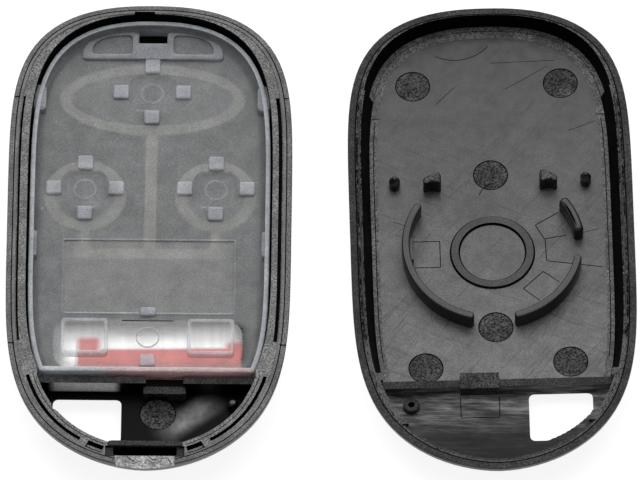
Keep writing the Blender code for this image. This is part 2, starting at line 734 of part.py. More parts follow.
def rear_cover(material):
    """Rear half: flat floor, battery well, board posts, ring pocket, tongue."""
    body = dome(REAR_DEPTH)
    tray = clipped_loop(inset_loop(case_outline(), REAR_WALL), CROSS_WALL_Y, True)
    carve(body, prism(tray, REAR_FLOOR, OVERRUN))
    carve(body, ring_pocket(REAR_RING_FLOOR))
    hole = mirrored_loop(ring_hole_loop())
    carve(body, prism(hole, -REAR_DEPTH - OVERRUN, OVERRUN))
    lower_cross_wall(body, -REAR_CROSS_DROP, CROSS_WALL_Y + ROOT)
    block = box_loop(-NOTCH_OUTER_X, NOTCH_INNER_REACH,
                     CROSS_FOOT_Y - ROOT, CROSS_WALL_Y + NOTCH_BLOCK_REACH)
    add(body, prism(block, REAR_RING_FLOOR - ROOT, ROOT / 2.0 - REAR_CROSS_DROP))
    battery_well(body)
    board_posts(body)
    ring_socket(body)
    tongue_inset = GROOVE_INSET + TONGUE_CLEARANCE
    tongue_width = GROOVE_WIDTH - 2.0 * TONGUE_CLEARANCE
    tongue = side_strip_loop(tongue_inset, tongue_width,
                             GROOVE_BOTTOM_Y + TONGUE_END_GAP, GROOVE_TOP_Y - TONGUE_END_GAP)
    add(body, prism(tongue, -TONGUE_ROOT, TONGUE_HEIGHT))
    add(body, prism(mirrored_loop(tongue), -TONGUE_ROOT, TONGUE_HEIGHT))
    return finish(body, "rear_cover", material)


def battery_well(body):
    """Curved walls that hold a 20 mm coin cell, and its seat ring."""
    root = REAR_FLOOR - ROOT
    top = REAR_FLOOR + WELL_HEIGHT
    walls = ((WELL_LEFT_START, WELL_LEFT_END, WELL_WALL),
             (WELL_RIGHT_START, WELL_RIGHT_END, WELL_WALL),
             (WELL_CATCH_START, WELL_CATCH_END, WELL_CATCH_WALL))
    for start, end, wall in walls:
        add(body, prism(arc_wall_loop(WELL_Y, WELL_RADIUS, wall, start, end), root, top))
    ring_inner = SEAT_RING_RADIUS - SEAT_RING_WIDTH
    ring = prism(ellipse_loop(0.0, WELL_Y, SEAT_RING_RADIUS, SEAT_RING_RADIUS, KEY_STEPS),
                 root, REAR_FLOOR + SEAT_RING_HEIGHT)
    carve(ring, prism(ellipse_loop(0.0, WELL_Y, ring_inner, ring_inner, KEY_STEPS),
                      root - OVERRUN, OVERRUN))
    add(body, ring)


def board_posts(body):
    """Pointed pins and three-sided posts that locate the circuit board."""
    root = REAR_FLOOR - ROOT
    shoulder = REAR_FLOOR + PIN_HEIGHT * PIN_POINT_SHARE
    for side in (-1.0, 1.0):
        shank = ellipse_loop(side * PIN_X, PIN_Y, PIN_RADIUS, PIN_RADIUS, ROUND_STEPS)
        tip_radius = PIN_RADIUS * PIN_TIP_SHARE
        tip = ellipse_loop(side * PIN_X, PIN_Y, tip_radius, tip_radius, ROUND_STEPS)
        add(body, loft([(shank, root), (shank, shoulder), (tip, REAR_FLOOR + PIN_HEIGHT)]))
    half = POST_WIDTH / 2.0
    post_y = PIN_Y - POST_DEPTH / 3.0
    post = [Vector((POST_X - half, post_y)),
            Vector((POST_X + half, post_y)),
            Vector((POST_X + half, post_y + POST_DEPTH / 4.0)),
            Vector((POST_X - half / 3.0, post_y + POST_DEPTH)),
            Vector((POST_X - half, post_y + POST_DEPTH))]
    add(body, prism(post, root, REAR_FLOOR + POST_HEIGHT))
    add(body, prism(mirrored_loop(post), root, REAR_FLOOR + POST_HEIGHT))


def ring_socket(body):
    """Low round socket opposite the boss of the front half."""
    bore = BOSS_RADIUS + SOCKET_CLEARANCE
    outer = bore + SOCKET_WALL
    ring = ellipse_loop(-BOSS_X, BOSS_Y, outer, outer, ROUND_STEPS)
    add(body, prism(ring, REAR_RING_FLOOR - ROOT, REAR_RING_FLOOR + SOCKET_HEIGHT))
    hole = ellipse_loop(-BOSS_X, BOSS_Y, bore, bore, ROUND_STEPS)
    floor = REAR_RING_FLOOR + SOCKET_HEIGHT - SOCKET_DEPTH
    carve(body, prism(hole, floor, OVERRUN))


def placed_empty(name, location, turn, parent=None):
    made = bpy.data.objects.new(name, None)
    made.location = location
    made.rotation_euler = (0.0, 0.0, turn)
    made.parent = parent
    bpy.context.scene.collection.objects.link(made)
    return made


def build():
    clear_scene()
    black = plastic("black_plastic", (0.022, 0.022, 0.023), 0.5)
    key_black = plastic("key_plastic", (0.030, 0.030, 0.032), 0.45)
    carrier_grey = plastic("carrier_plastic", (0.42, 0.40, 0.34), 0.5)
    silicone = plastic("silicone", (0.30, 0.35, 0.41), 0.4)
    red = plastic("panic_red", (0.62, 0.07, 0.05), 0.45)

    front_axis = placed_empty("front_axis", (-HALF_SPACING / 2.0, 0.0, FRONT_DEPTH), -LEAN)
    hinge_height = (FRONT_DEPTH + REAR_DEPTH + PARTING_GAP) / 2.0
    rear_hinge = placed_empty("rear_hinge", (0.0, 0.0, hinge_height), 0.0)
    rear_place = (HALF_SPACING / 2.0, 0.0, REAR_DEPTH - hinge_height)
    rear_axis = placed_empty("rear_axis", rear_place, LEAN, rear_hinge)

    in_front = [front_cover(black), button_pad(silicone), key_carrier(carrier_grey)]
    for name in KEYS:
        in_front.append(key_button(name, red if name == "panic_button" else key_black))
    for piece in in_front:
        piece.parent = front_axis
    rear_cover(black).parent = rear_axis


build()
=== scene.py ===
"""A remote key fob case laid open on a white table: the front half with its keys and its
silicone button pad, and the empty rear half beside it.

Each half is drawn in millimetres around its own axis, x across, y towards the top of the
fob and z up from its rim, and is then settled into the frame, which is in metres.
"""

import math

import bpy
from mathutils import Matrix, Vector


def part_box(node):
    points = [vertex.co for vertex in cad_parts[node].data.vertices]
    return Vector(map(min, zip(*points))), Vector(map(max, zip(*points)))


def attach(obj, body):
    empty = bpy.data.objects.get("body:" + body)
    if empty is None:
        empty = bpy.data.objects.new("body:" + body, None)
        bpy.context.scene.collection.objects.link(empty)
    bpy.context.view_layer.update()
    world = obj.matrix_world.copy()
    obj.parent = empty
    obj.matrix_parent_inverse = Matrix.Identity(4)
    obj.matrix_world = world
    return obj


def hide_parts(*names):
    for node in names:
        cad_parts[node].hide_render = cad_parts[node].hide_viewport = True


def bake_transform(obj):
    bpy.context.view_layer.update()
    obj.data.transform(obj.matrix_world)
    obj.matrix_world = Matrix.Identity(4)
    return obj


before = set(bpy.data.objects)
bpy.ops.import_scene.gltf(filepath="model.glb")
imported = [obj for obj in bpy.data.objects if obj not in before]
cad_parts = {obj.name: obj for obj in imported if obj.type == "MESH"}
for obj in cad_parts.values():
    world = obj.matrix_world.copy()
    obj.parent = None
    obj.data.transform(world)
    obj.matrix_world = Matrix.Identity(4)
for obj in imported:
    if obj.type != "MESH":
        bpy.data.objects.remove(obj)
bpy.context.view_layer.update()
bpy.ops.object.select_all(action="DESELECT")

# Front cover: one black injection moulding, face down. Its rim and ledge are spark eroded,
# its pockets are polished black, and a cross wall parts the pad's pocket from the ring hole.
MILLIMETRE = 0.001
CASE_HALF_WIDTH = 18.195
CASE_HALF_LENGTH = 34.685
TOP_POWERS = (2.4, 5.3)
BOTTOM_POWERS = (1.83, 4.2)
EDGE_POINTS = 180
HALVINGS = 40
ON_CUT = 0.001
CUT_GAP = 0.3
WELD = 0.0006
SMOOTH_ANGLE = 32.0
SIDES = (-1.0, 1.0)
FRONT_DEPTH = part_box("front_cover")[1].z / MILLIMETRE
FRONT_CENTRE = -21.95
LEAN = math.radians(1.1)
DOME = ((0.720, 1.000), (0.790, 0.990), (0.840, 0.970), (0.882, 0.938), (0.915, 0.900),
        (0.934, 0.843), (0.947, 0.780), (0.955, 0.703), (0.961, 0.620), (0.969, 0.520),
        (0.977, 0.420), (0.986, 0.300), (0.995, 0.180), (0.9988, 0.080), (1.000, 0.015))
DOME_CENTRE = 15.7
RIM_ROUND = 0.08
OUTER_BAND = 0.55
BAND_LINE = 0.07
LINE_DROP = 0.30
MIDDLE_BAND = 0.38
LEDGE_DROP = 0.12
GROOVE_EDGES = ((1.26, 1.54), (1.26, 1.74))
GROOVE_DROP = 1.1
GROOVE_ENDS = (-16.2, 22.3)
RING_GROOVE = (1.50, 1.96, -40.0, -20.8, -20.0, -8.4)
WALL_LINE = (2.38, 2.48, -40.0, -21.4, -20.0, -5.6)
PAD_HALF_WIDTH = 15.4
PAD_TOP = 33.15
PAD_BOTTOM = 29.0
PAD_LOW_EDGE = -19.65
PAD_GAP = 0.3
PAD_SEAT = -4.2
SEAT_WIDTH = 1.8
KEY_FLOOR = -5.4
KEY_HOLE_GAP = 0.25
CROSS_WALL = (-21.0, -19.95)
FRONT_CROSS_TOP = -2.1
FRONT_CROSS_REACH = 13.9
RING_WALL = 2.9
RING_FILLET = 1.6
FRONT_RING_FLOOR = -4.6
FRONT_RING_HOLE = (-12.0, -3.2, -28.6, -22.0)
HOLE_ARC = (-1.5, -15.7, 13.4)
HOLE_CORNER = 0.8
HOLE_LEANS = (1.37, 0.41)
ABOVE = 2.0


def egg(half_width, top, bottom):
    """Egg outline with its points at even angles: each is found by halving steps."""
    points = []
    for step in range(EDGE_POINTS):
        turn = math.tau * step / EDGE_POINTS
        across, along = math.cos(turn) * half_width, math.sin(turn) * half_width
        width_power, length_power = TOP_POWERS if along >= 0.0 else BOTTOM_POWERS
        reach = top if along >= 0.0 else bottom
        low, high = 0.0, 2.0 * reach / half_width
        for _ in range(HALVINGS):
            middle = (low + high) / 2.0
            inside = (abs(across * middle / half_width) ** width_power
                      + abs(along * middle / reach) ** length_power) < 1.0
            low, high = (middle, high) if inside else (low, middle)
        points.append(Vector((across * low, along * low)))
    return points


case_edge = egg(CASE_HALF_WIDTH, CASE_HALF_LENGTH, CASE_HALF_LENGTH)


def moved_in(points, inset):
    """The outline moved inwards along its normals."""
    made = []
    for index, point in enumerate(points):
        along = (points[(index + 1) % len(points)] - points[index - 1]).normalized()
        made.append(point + Vector((-along.y, along.x)) * inset)
    return made


def kept(points, level, above, axis=1):
    """The part of an outline on one side of a line, without points that crowd its ends."""
    sense = 1.0 if above else -1.0
    made = []
    for index, point in enumerate(points):
        before = points[index - 1]
        here, there = (point[axis] - level) * sense, (before[axis] - level) * sense
        if (here > 0.0) != (there > 0.0):
            made.append(before.lerp(point, there / (there - here)))
        if here > 0.0:
            made.append(point)
    return [point for point in made if not ON_CUT <= abs(point[axis] - level) <= CUT_GAP]


def oval(x, y, half_width, half_height=None, count=40):
    half_height = half_height or half_width
    turns = [math.tau * step / count for step in range(count)]
    return [Vector((x + half_width * math.cos(a), y + half_height * math.sin(a))) for a in turns]


def box(low_x, high_x, low_y, high_y, corner=0.0, steps=4):
    """A box with its corners rounded."""
    if not corner:
        return [Vector((low_x, low_y)), Vector((high_x, low_y)),
                Vector((high_x, high_y)), Vector((low_x, high_y))]
    made = []
    middles = ((high_x - corner, high_y - corner), (low_x + corner, high_y - corner),
               (low_x + corner, low_y + corner), (high_x - corner, low_y + corner))
    for quarter, (x, y) in enumerate(middles):
        for step in range(steps + 1):
            turn = math.pi / 2.0 * (quarter + step / steps)
            made.append(Vector((x + corner * math.cos(turn), y + corner * math.sin(turn))))
    return made


def rounded(points, radius, steps=4, least=math.radians(30.0)):
    """The outline with an arc at each corner that turns by more than the least."""
    made = []
    for index, point in enumerate(points):
        back = points[index - 1] - point
        ahead = points[(index + 1) % len(points)] - point
        turn = math.pi - back.angle(ahead)
        if turn < least:
            made.append(point)
            continue
        setback = min(radius * math.tan(turn / 2.0), 0.45 * min(back.length, ahead.length))
        first = point + back.normalized() * setback
        last = point + ahead.normalized() * setback
        for step in range(steps + 1):
            share = step / steps
            made.append(first.lerp(point, share).lerp(point.lerp(last, share), share))
    return made


def mirrored(points):
    return [Vector((-point.x, point.y)) for point in reversed(points)]


def rim_strip(side, outer, inner, low_y, high_y, low_x=-20.0, high_x=0.0):
    """A strip between two distances from the edge of the case, on its left or right side."""
    chosen = [index for index, point in enumerate(case_edge)
              if low_x < point.x < high_x and low_y < point.y < high_y]
    far, near = moved_in(case_edge, outer), moved_in(case_edge, inner)
    strip = [near[index] for index in chosen] + [far[index] for index in reversed(chosen)]
    return strip if side < 0.0 else mirrored(strip)


def choose(piece):
    """Selects one piece alone and makes it active."""
    bpy.ops.object.select_all(action="DESELECT")
    bpy.context.view_layer.objects.active = piece
    piece.select_set(True)


def open_piece(piece):
    """Opens a mesh for editing, with all of it selected."""
    choose(piece)
    bpy.ops.object.mode_set(mode="EDIT")
    bpy.ops.mesh.select_all(action="SELECT")


def close_piece():
    bpy.ops.object.mode_set(mode="OBJECT")


def pick_faces(piece, test):
    """In edit mode, selects the faces that the test accepts by their centre and normal."""
    bpy.ops.mesh.select_mode(type="FACE")
    bpy.ops.mesh.select_all(action="DESELECT")
    close_piece()
    for face in piece.data.polygons:
        face.select = bool(test(face.center, face.normal))
    bpy.ops.object.mode_set(mode="EDIT")


def pick_facing(piece, up, least=0.9):
    """Selects the faces that look up, or down where up is negative."""
    pick_faces(piece, lambda centre, normal: normal.z * up > least)


def disc(points, height, finish):
    """A flat disc of this outline, open for editing with all of it selected."""
    bpy.ops.object.select_all(action="DESELECT")
    bpy.ops.mesh.primitive_circle_add(vertices=len(points), radius=1.0, fill_type="NGON")
    piece = bpy.context.object
    for vertex, point in zip(piece.data.vertices, points):
        vertex.co = (point.x, point.y, height)
    piece.data.materials.append(finish)
    open_piece(piece)
    return piece


def extrude_up(rise):
    bpy.ops.mesh.extrude_region_move(TRANSFORM_OT_translate={"value": (0.0, 0.0, rise)})


def face_outwards():
    bpy.ops.mesh.select_all(action="SELECT")
    bpy.ops.mesh.normals_make_consistent(inside=False)


def round_off(radius, steps):
    """Turns the selected end face into a rounded edge of that radius, in small insets."""
    for step in range(steps):
        before, after = (math.pi / 2.0 * (step + part) / steps for part in (0.0, 1.0))
        bpy.ops.mesh.inset(thickness=radius * (math.cos(before) - math.cos(after)),
                           depth=radius * (math.sin(after) - math.sin(before)))


def slab(points, low, high, finish, foot=0.0, crown=0.0, steps=3):
    """A solid of this outline, extruded from a flat disc, with its foot and crown rounded."""
    piece = disc(points, low + foot, finish)
    extrude_up(high - crown - low - foot)
    face_outwards()
    for up, radius in ((1.0, crown), (-1.0, foot)):
        if radius:
            pick_facing(piece, up)
            round_off(radius, steps)
    close_piece()
    return piece


def cut_off(piece, level, above):
    """Cuts a solid straight across and closes it, keeping what lies above or below."""
    open_piece(piece)
    bpy.ops.mesh.bisect(plane_co=(0.0, level, 0.0), plane_no=(0.0, 1.0, 0.0), use_fill=True,
                        clear_inner=above, clear_outer=not above)
    close_piece()
    return piece


def carve(piece, tool, operation="DIFFERENCE"):
    """Cuts or joins one solid with another. The new faces keep the finish of the tool."""
    change = piece.modifiers.new("change", "BOOLEAN")
    change.operation = operation
    change.solver = "EXACT"
    change.material_mode = "TRANSFER"
    change.object = tool
    choose(piece)
    bpy.ops.object.modifier_apply(modifier=change.name)
    bpy.data.objects.remove(tool, do_unlink=True)
    open_piece(piece)
    bpy.ops.mesh.remove_doubles(threshold=WELD)
    close_piece()


def join(piece, tool):
    carve(piece, tool, "UNION")


def shell(depth, finish):
    """The outer body of a half: a small disc, extruded up and widened ring by ring."""
    width, drop = DOME[0]
    first_ring = [Vector((point.x * width, DOME_CENTRE + (point.y - DOME_CENTRE) * width))
                  for point in case_edge]
    piece = disc(first_ring, -depth * drop, finish)
    for next_width, next_drop in DOME[1:]:
        extrude_up(depth * (drop - next_drop))
        growth = next_width / width
        bpy.ops.transform.resize(value=(growth, growth, 1.0),
                                 center_override=(0.0, DOME_CENTRE, 0.0))
        width, drop = next_width, next_drop
    face_outwards()
    pick_facing(piece, 1.0)
    bpy.ops.mesh.inset(thickness=RIM_ROUND, depth=depth * drop)
    close_piece()
    return piece


def paint_selected(piece, finish):
    """Gives the faces selected in edit mode a finish of their own."""
    if finish.name not in piece.data.materials:
        piece.data.materials.append(finish)
    piece.active_material_index = piece.data.materials.find(finish.name)
    bpy.ops.object.material_slot_assign()


def bands(piece, steps):
    """Steps the flat rim inwards: each step is a width, a rise and a finish."""
    open_piece(piece)
    pick_faces(piece, lambda centre, normal: normal.z > 0.9 and centre.z > -0.5)
    for width, rise, finish in steps:
        paint_selected(piece, finish)
        bpy.ops.mesh.inset(thickness=width, depth=rise)
    close_piece()


def settle(piece, name, centre, lean, height):
    """Names the finished piece, shades it and puts its mesh into the frame in metres."""
    piece.name = name
    piece.data.name = name
    place = Matrix.Translation((centre * MILLIMETRE, 0.0, height * MILLIMETRE))
    turn = Matrix.Rotation(lean, 4, "Z")
    piece.data.transform(place @ turn @ Matrix.Scale(MILLIMETRE, 4))
    choose(piece)
    bpy.ops.object.shade_smooth_by_angle(angle=math.radians(SMOOTH_ANGLE))
    piece.select_set(False)


def in_front(piece, name, body, slot_name, *nodes):
    """Settles a piece in the front half, in place of the solids that it dresses."""
    settle(piece, name, FRONT_CENTRE, -LEAN, FRONT_DEPTH)
    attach(piece, body)
    if nodes:
        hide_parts(*nodes)


def wire(made, node, sockets):
    """Sets the sockets of a node, and links those whose value is another node's socket."""
    for name, value in sockets.items():
        if isinstance(value, bpy.types.NodeSocket):
            made.node_tree.links.new(value, node.inputs[name])
        else:
            node.inputs[name].default_value = value
    return node


def add_node(made, kind, sockets):
    return wire(made, made.node_tree.nodes.new("ShaderNode" + kind), sockets)


def new_finish(name, roughness, index=1.5, gloss=0.5):
    """A material, its shader, and the places on the object that patterns follow."""
    made = bpy.data.materials.new(name)
    made.use_nodes = True
    shader = wire(made, made.node_tree.nodes["Principled BSDF"],
                  {"Roughness": roughness, "IOR": index, "Specular IOR Level": gloss})
    return made, shader, add_node(made, "TexCoord", {}).outputs["Object"]


def turned(made, place, turn, long=1.0, centre=(0.0, 0.0, 0.0)):
    """Places centred on a spot, turned by so many degrees and drawn out along y."""
    mapping = add_node(made, "Mapping", {"Vector": place, "Location": centre,
                                         "Rotation": (0.0, 0.0, math.radians(turn)),
                                         "Scale": (1.0, long, 1.0)})
    mapping.vector_type = "TEXTURE"
    return mapping.outputs["Vector"]


def noise(made, place, scale, detail=3.0, rough=0.6, long=None, turn=0.0):
    """Noise of so many waves a metre, drawn out into streaks that turn from along y."""
    if long:
        place = turned(made, place, turn, long)
    return add_node(made, "TexNoise", {"Vector": place, "Scale": scale, "Detail": detail,
                                       "Roughness": rough}).outputs["Fac"]


def ramp(made, factor, *stops):
    """A colour for each value of the factor, given as grey levels or colours."""
    band = add_node(made, "ValToRGB", {"Fac": factor})
    elements = band.color_ramp.elements
    for position, level in stops[1:-1]:
        elements.new(position)
    elements[0].position = stops[0][0]
    elements[-1].position = stops[-1][0]
    for element, (position, level) in zip(elements, stops):
        colour = (level,) * 3 if isinstance(level, float) else level
        element.color = (*colour, 1.0)
    return band.outputs["Color"]


def blended(made, first, second, how="MULTIPLY", share=1.0):
    """Two colours multiplied, added, mixed by a mask, or the lighter of the two."""
    mix = add_node(made, "Mix", {})
    mix.data_type = "RGBA"
    mix.blend_type = how
    colours = [index for index, socket in enumerate(mix.inputs) if socket.type == "RGBA"]
    first, second = (colour if isinstance(colour, bpy.types.NodeSocket) else (*colour, 1.0)
                     for colour in (first, second))
    wire(made, mix, {0: share, colours[0]: first, colours[1]: second})
    return [socket for socket in mix.outputs if socket.type == "RGBA"][0]


def dented(made, shader, *layers):
    """Bump from layers of height, each with its strength and its depth in metres."""
    under = {}
    for height, strength, depth in layers:
        bump = add_node(made, "Bump", {"Height": height, "Strength": strength,
                                       "Distance": depth, **under})
        under = {"Normal": bump.outputs["Normal"]}
    wire(made, shader, under)


def grained_plastic(name, dark, light, roughness, grain, depth, patch=260.0, gloss=0.5):
    """Black plastic with spark-eroded grain: a mottle in its colour and fine pits."""
    made, shader, place = new_finish(name, roughness, gloss=gloss)
    mottle = ramp(made, noise(made, place, grain), (0.40, dark), (0.62, light))
    clouds = ramp(made, noise(made, place, patch, 6.0, 0.7), (0.38, 0.55), (0.62, 1.40))
    wire(made, shader, {"Base Color": blended(made, mottle, clouds)})
    dented(made, shader, (noise(made, place, grain, 4.0), 0.9, depth),
           (noise(made, place, grain * 0.28), 0.5, depth))
    return made


def painted_light_along(made, place, first, last, *stops):
    """Painted light and shade: grey levels that change along y, between two places in metres."""
    parts = add_node(made, "SeparateXYZ", {"Vector": place})
    span = add_node(made, "MapRange", {"Value": parts.outputs["Y"], "From Min": first,
                                       "From Max": last})
    return ramp(made, span.outputs["Result"], *stops)


def smooth_plastic(name, dark, light, roughness, scratch, patch=60.0, gloss=0.5, painted_light_fall=None):
    """Black plastic off a polished tool: flow clouds, fine streaks and stray scratches, and
    painted light and shade along y where one is given.
    """
    made, shader, place = new_finish(name, roughness, gloss=gloss)
    colour = ramp(made, noise(made, place, patch, 8.0, 0.75), (0.36, dark), (0.64, light))
    grit = ramp(made, noise(made, place, 4400.0, 2.0), (0.36, 0.60), (0.64, 1.35))
    colour = blended(made, colour, grit)
    # Painted light and shade that change along y.
    if painted_light_fall:
        colour = blended(made, colour, painted_light_along(made, place, *painted_light_fall))
    layers = [(noise(made, place, 2600.0, 4.0), 0.5, 0.00003)]
    for turn, waves, deep in ((4.0, 1500.0, 0.75), (-38.0, 620.0, 0.45), (66.0, 560.0, 0.45)):
        lines = noise(made, place, waves, 3.0, 0.7, 16.0, turn)
        marks = ramp(made, lines, (0.0, 1.0), (0.58, 1.0), (0.605, deep), (0.63, 1.0))
        colour = blended(made, colour, marks)
        layers.append((lines, scratch, 0.00003))
    sheen = ramp(made, noise(made, place, patch * 3.0, 6.0), (0.36, roughness - 0.06),
                 (0.64, roughness + 0.08))
    wire(made, shader, {"Base Color": colour, "Roughness": sheen})
    dented(made, shader, *layers)
    return made


rim_grain = grained_plastic("rim_grain", 0.012, 0.150, 0.44, 5000.0, 0.00012)
ledge_grain = grained_plastic("ledge_grain", 0.020, 0.190, 0.46, 4200.0, 0.00012, 420.0)
band_satin = grained_plastic("band_satin", 0.030, 0.120, 0.42, 6000.0, 0.00006)
wall_grain = grained_plastic("wall_grain", 0.003, 0.040, 0.50, 4600.0, 0.00012, gloss=0.15)
pocket_black = smooth_plastic("pocket_black", 0.001, 0.003, 0.45, 0.15, gloss=0.02)
shell_satin = grained_plastic("shell_satin", 0.018, 0.030, 0.40, 5200.0, 0.00002)


def front_spot(x, y):
    """Where a point of the front half lies in the frame, in metres."""
    point = Matrix.Rotation(-LEAN, 2) @ Vector((x, y))
    return (point.x + FRONT_CENTRE) * MILLIMETRE, point.y * MILLIMETRE


def faded(made, place, low, high, *blurs):
    """A mask that is one inside a box on the object and falls to nothing at its edges."""
    parts = add_node(made, "SeparateXYZ", {"Vector": place})
    mask = (1.0, 1.0, 1.0)
    for axis, first, last, blur in zip("XYZ", low, high, blurs):
        for edge, full in ((first, first + blur), (last, last - blur)):
            rise = add_node(made, "MapRange", {"Value": parts.outputs[axis],
                                               "From Min": edge, "From Max": full})
            rise.interpolation_type = "SMOOTHSTEP"
            mask = blended(made, rise.outputs["Result"], mask)
    return mask


def ring_floor_finish():
    """Polished black floor of the ring pocket, with a painted highlight band and a patch of
    painted light.
    """
    made, shader, place = new_finish("ring_floor_black_painted_light", 0.40, gloss=0.04)
    # Painted light: a light patch on the cross wall's face above the hole, for the table's light
    # that comes up through it.
    strip = faded(made, place, (*front_spot(-12.6, -21.7), 0.0024),
                  (*front_spot(-3.2, -20.3), 0.0052), 0.0012, 0.0002, 0.0005)
    # Painted highlight: a soft grey band across the floor, for the softbox's reflection in a
    # curved floor.
    patch = turned(made, place, 36.0, centre=(*front_spot(4.6, -24.8), 0.0))
    sheen = faded(made, patch, (-0.0050, -0.0026), (0.0066, 0.0020), 0.0048, 0.0023)
    grit = ramp(made, noise(made, place, 3000.0, 4.0), (0.38, 0.75), (0.62, 1.0))
    soft = ramp(made, noise(made, place, 400.0, 7.0), (0.38, 0.12), (0.62, 0.26))
    black = blended(made, (0.002, 0.002, 0.002), soft, "MIX", sheen)
    wire(made, shader, {"Base Color": blended(made, black, grit, "MIX", strip)})
    dented(made, shader, (noise(made, place, 1800.0, 5.0), 0.4, 0.00004))
    return made


ring_floor_black_painted_light = ring_floor_finish()


def pad_edge(gap, inset=0.0):
    """Outline of the button pad, grown by a gap and then moved inwards."""
    edge = egg(PAD_HALF_WIDTH + gap, PAD_TOP + gap, PAD_BOTTOM + gap)
    return kept(moved_in(edge, inset), PAD_LOW_EDGE - gap + inset, True)


def ring_pocket(floor, finish, wall=RING_WALL):
    """Pocket around the ring hole: a round-footed cutter, cut off at the cross wall."""
    tool = slab(moved_in(case_edge, wall), floor, ABOVE, finish, foot=RING_FILLET, steps=7)
    return cut_off(tool, CROSS_WALL[0], False)


def ring_hole(far, near, low, high):
    """Outline of the ring hole of the front half: straight sides and a round outer edge."""
    edge = kept(kept(oval(*HOLE_ARC, count=120), far, True, 0), near, False, 0)
    return rounded(kept(kept(edge, high, False), low, True), HOLE_CORNER, 6)


def leaning_hole(outline, depth):
    """Cutter of a ring hole whose upper wall leans back towards the outside of the case."""
    tool = slab(outline, -depth - ABOVE, ABOVE, wall_grain)
    open_piece(tool)
    low = min(point.y for point in outline)
    for up, share in ((-1.0, HOLE_LEANS[0]), (1.0, HOLE_LEANS[1])):
        pick_facing(tool, up)
        bpy.ops.transform.resize(value=(1.0, share, 1.0), center_override=(0.0, low, 0.0))
    bpy.ops.mesh.select_all(action="SELECT")
    bpy.ops.mesh.quads_convert_to_tris()
    close_piece()
    return tool


def cut_cross_wall(piece, reach, top):
    """Cuts the cross wall down to its own height."""
    carve(piece, slab(box(-reach, reach, CROSS_WALL[0] - 0.3, CROSS_WALL[1] + 0.2), top,
                      ABOVE, wall_grain))


KEY_SPOTS = {"lock": (0.0, 23.3), "unlock": (-8.4, 8.75), "trunk": (8.4, 8.75),
             "panic": (0.0, -13.9)}
LOCK_HALVES = (10.3, 3.8)
PANIC_HALVES = (11.4, 2.7)
PANIC_CORNER = 2.4
ROUND_KEY_RADIUS = 3.7


def key_edge(name, growth):
    """Outline of a key cap, grown for its hole or for its flange."""
    x, y = KEY_SPOTS[name]
    if name == "lock":
        return oval(x, y, LOCK_HALVES[0] + growth, LOCK_HALVES[1] + growth, 72)
    if name == "panic":
        half_x, half_y = PANIC_HALVES
        return box(x - half_x - growth, x + half_x + growth, y - half_y - growth,
                   y + half_y + growth, PANIC_CORNER, 8)
    return oval(x, y, ROUND_KEY_RADIUS + growth, count=56)


front = shell(FRONT_DEPTH, shell_satin)
bands(front, ((OUTER_BAND, 0.0, rim_grain), (BAND_LINE, -LINE_DROP, pocket_black),
              (BAND_LINE, LINE_DROP, pocket_black), (MIDDLE_BAND, 0.0, band_satin),
              (BAND_LINE, -LEDGE_DROP, ledge_grain)))
for side, groove_edges in zip(SIDES, GROOVE_EDGES):
    for strip, drop in (((*groove_edges, *GROOVE_ENDS), GROOVE_DROP), (RING_GROOVE, 0.9),
                        (WALL_LINE, 0.3)):
        carve(front, slab(rim_strip(side, *strip), -drop, ABOVE, pocket_black))
carve(front, slab(pad_edge(PAD_GAP), PAD_SEAT, ABOVE, pocket_black))
carve(front, slab(pad_edge(PAD_GAP, SEAT_WIDTH), KEY_FLOOR, ABOVE, pocket_black))
carve(front, ring_pocket(FRONT_RING_FLOOR, ring_floor_black_painted_light))
for name in KEY_SPOTS:
    carve(front, slab(key_edge(name, KEY_HOLE_GAP), -FRONT_DEPTH - ABOVE, PAD_SEAT,
                      pocket_black))
carve(front, leaning_hole(ring_hole(*FRONT_RING_HOLE), FRONT_DEPTH))
cut_cross_wall(front, FRONT_CROSS_REACH, FRONT_CROSS_TOP)

# Snap arch, pry lug and small marks of the front rim, all moulded in one with it: the arch
# takes the hook of the other half, and the rough lug is where a coin prises the case open.
ARCH_FOOT = (-4.85, 4.85, -31.35, -30.75)
ARCH = (-4.9, 4.9, -32.6, -30.65)
ARCH_STEP = (-5.05, 5.05, -33.2, -31.5)
ARCH_POCKET = (-4.05, 4.05, -32.7, -31.5, 0.2)
LUG = (-3.8, 3.8, -36.0, -32.6)
CRACKS = ((-2.3, -32.8, -1.3, -33.6), (0.3, -32.7, 1.0, -33.3), (1.0, -33.3, 2.6, -33.0),
          (1.5, -33.9, 2.2, -33.3), (-0.5, -33.5, -1.6, -33.9), (2.9, -33.0, 3.4, -33.9))
CATCH_RECESS = (0.98, 2.12, -40.0, 0.0, -8.7, -5.3)
CATCH = (1.35, 1.65, -40.0, 0.0, -8.3, -5.8)
TOP_NOTCH = (-2.4, 0.2, 33.0, 33.75)
WALL_BLOCK = (-0.4, 5.0, -22.05, -20.7)
WALL_NOTCH = (-0.1, 4.7, -21.3, -19.8)
BOSS = (11.0, -22.9)

pocket_gloss = smooth_plastic("pocket_gloss", 0.002, 0.006, 0.22, 0.1)
ejector_grain = grained_plastic("ejector_grain", 0.001, 0.090, 0.55, 4400.0, 0.00030,
                                gloss=0.20)
lug_grain = grained_plastic("lug_grain", 0.120, 0.420, 0.46, 3600.0, 0.00014, 500.0)


def line_between(first_x, first_y, last_x, last_y, width=0.12):
    """Outline of a fine straight line."""
    first, last = Vector((first_x, first_y)), Vector((last_x, last_y))
    across = (last - first).normalized().orthogonal() * width / 2.0
    return [first - across, last - across, last + across, first + across]


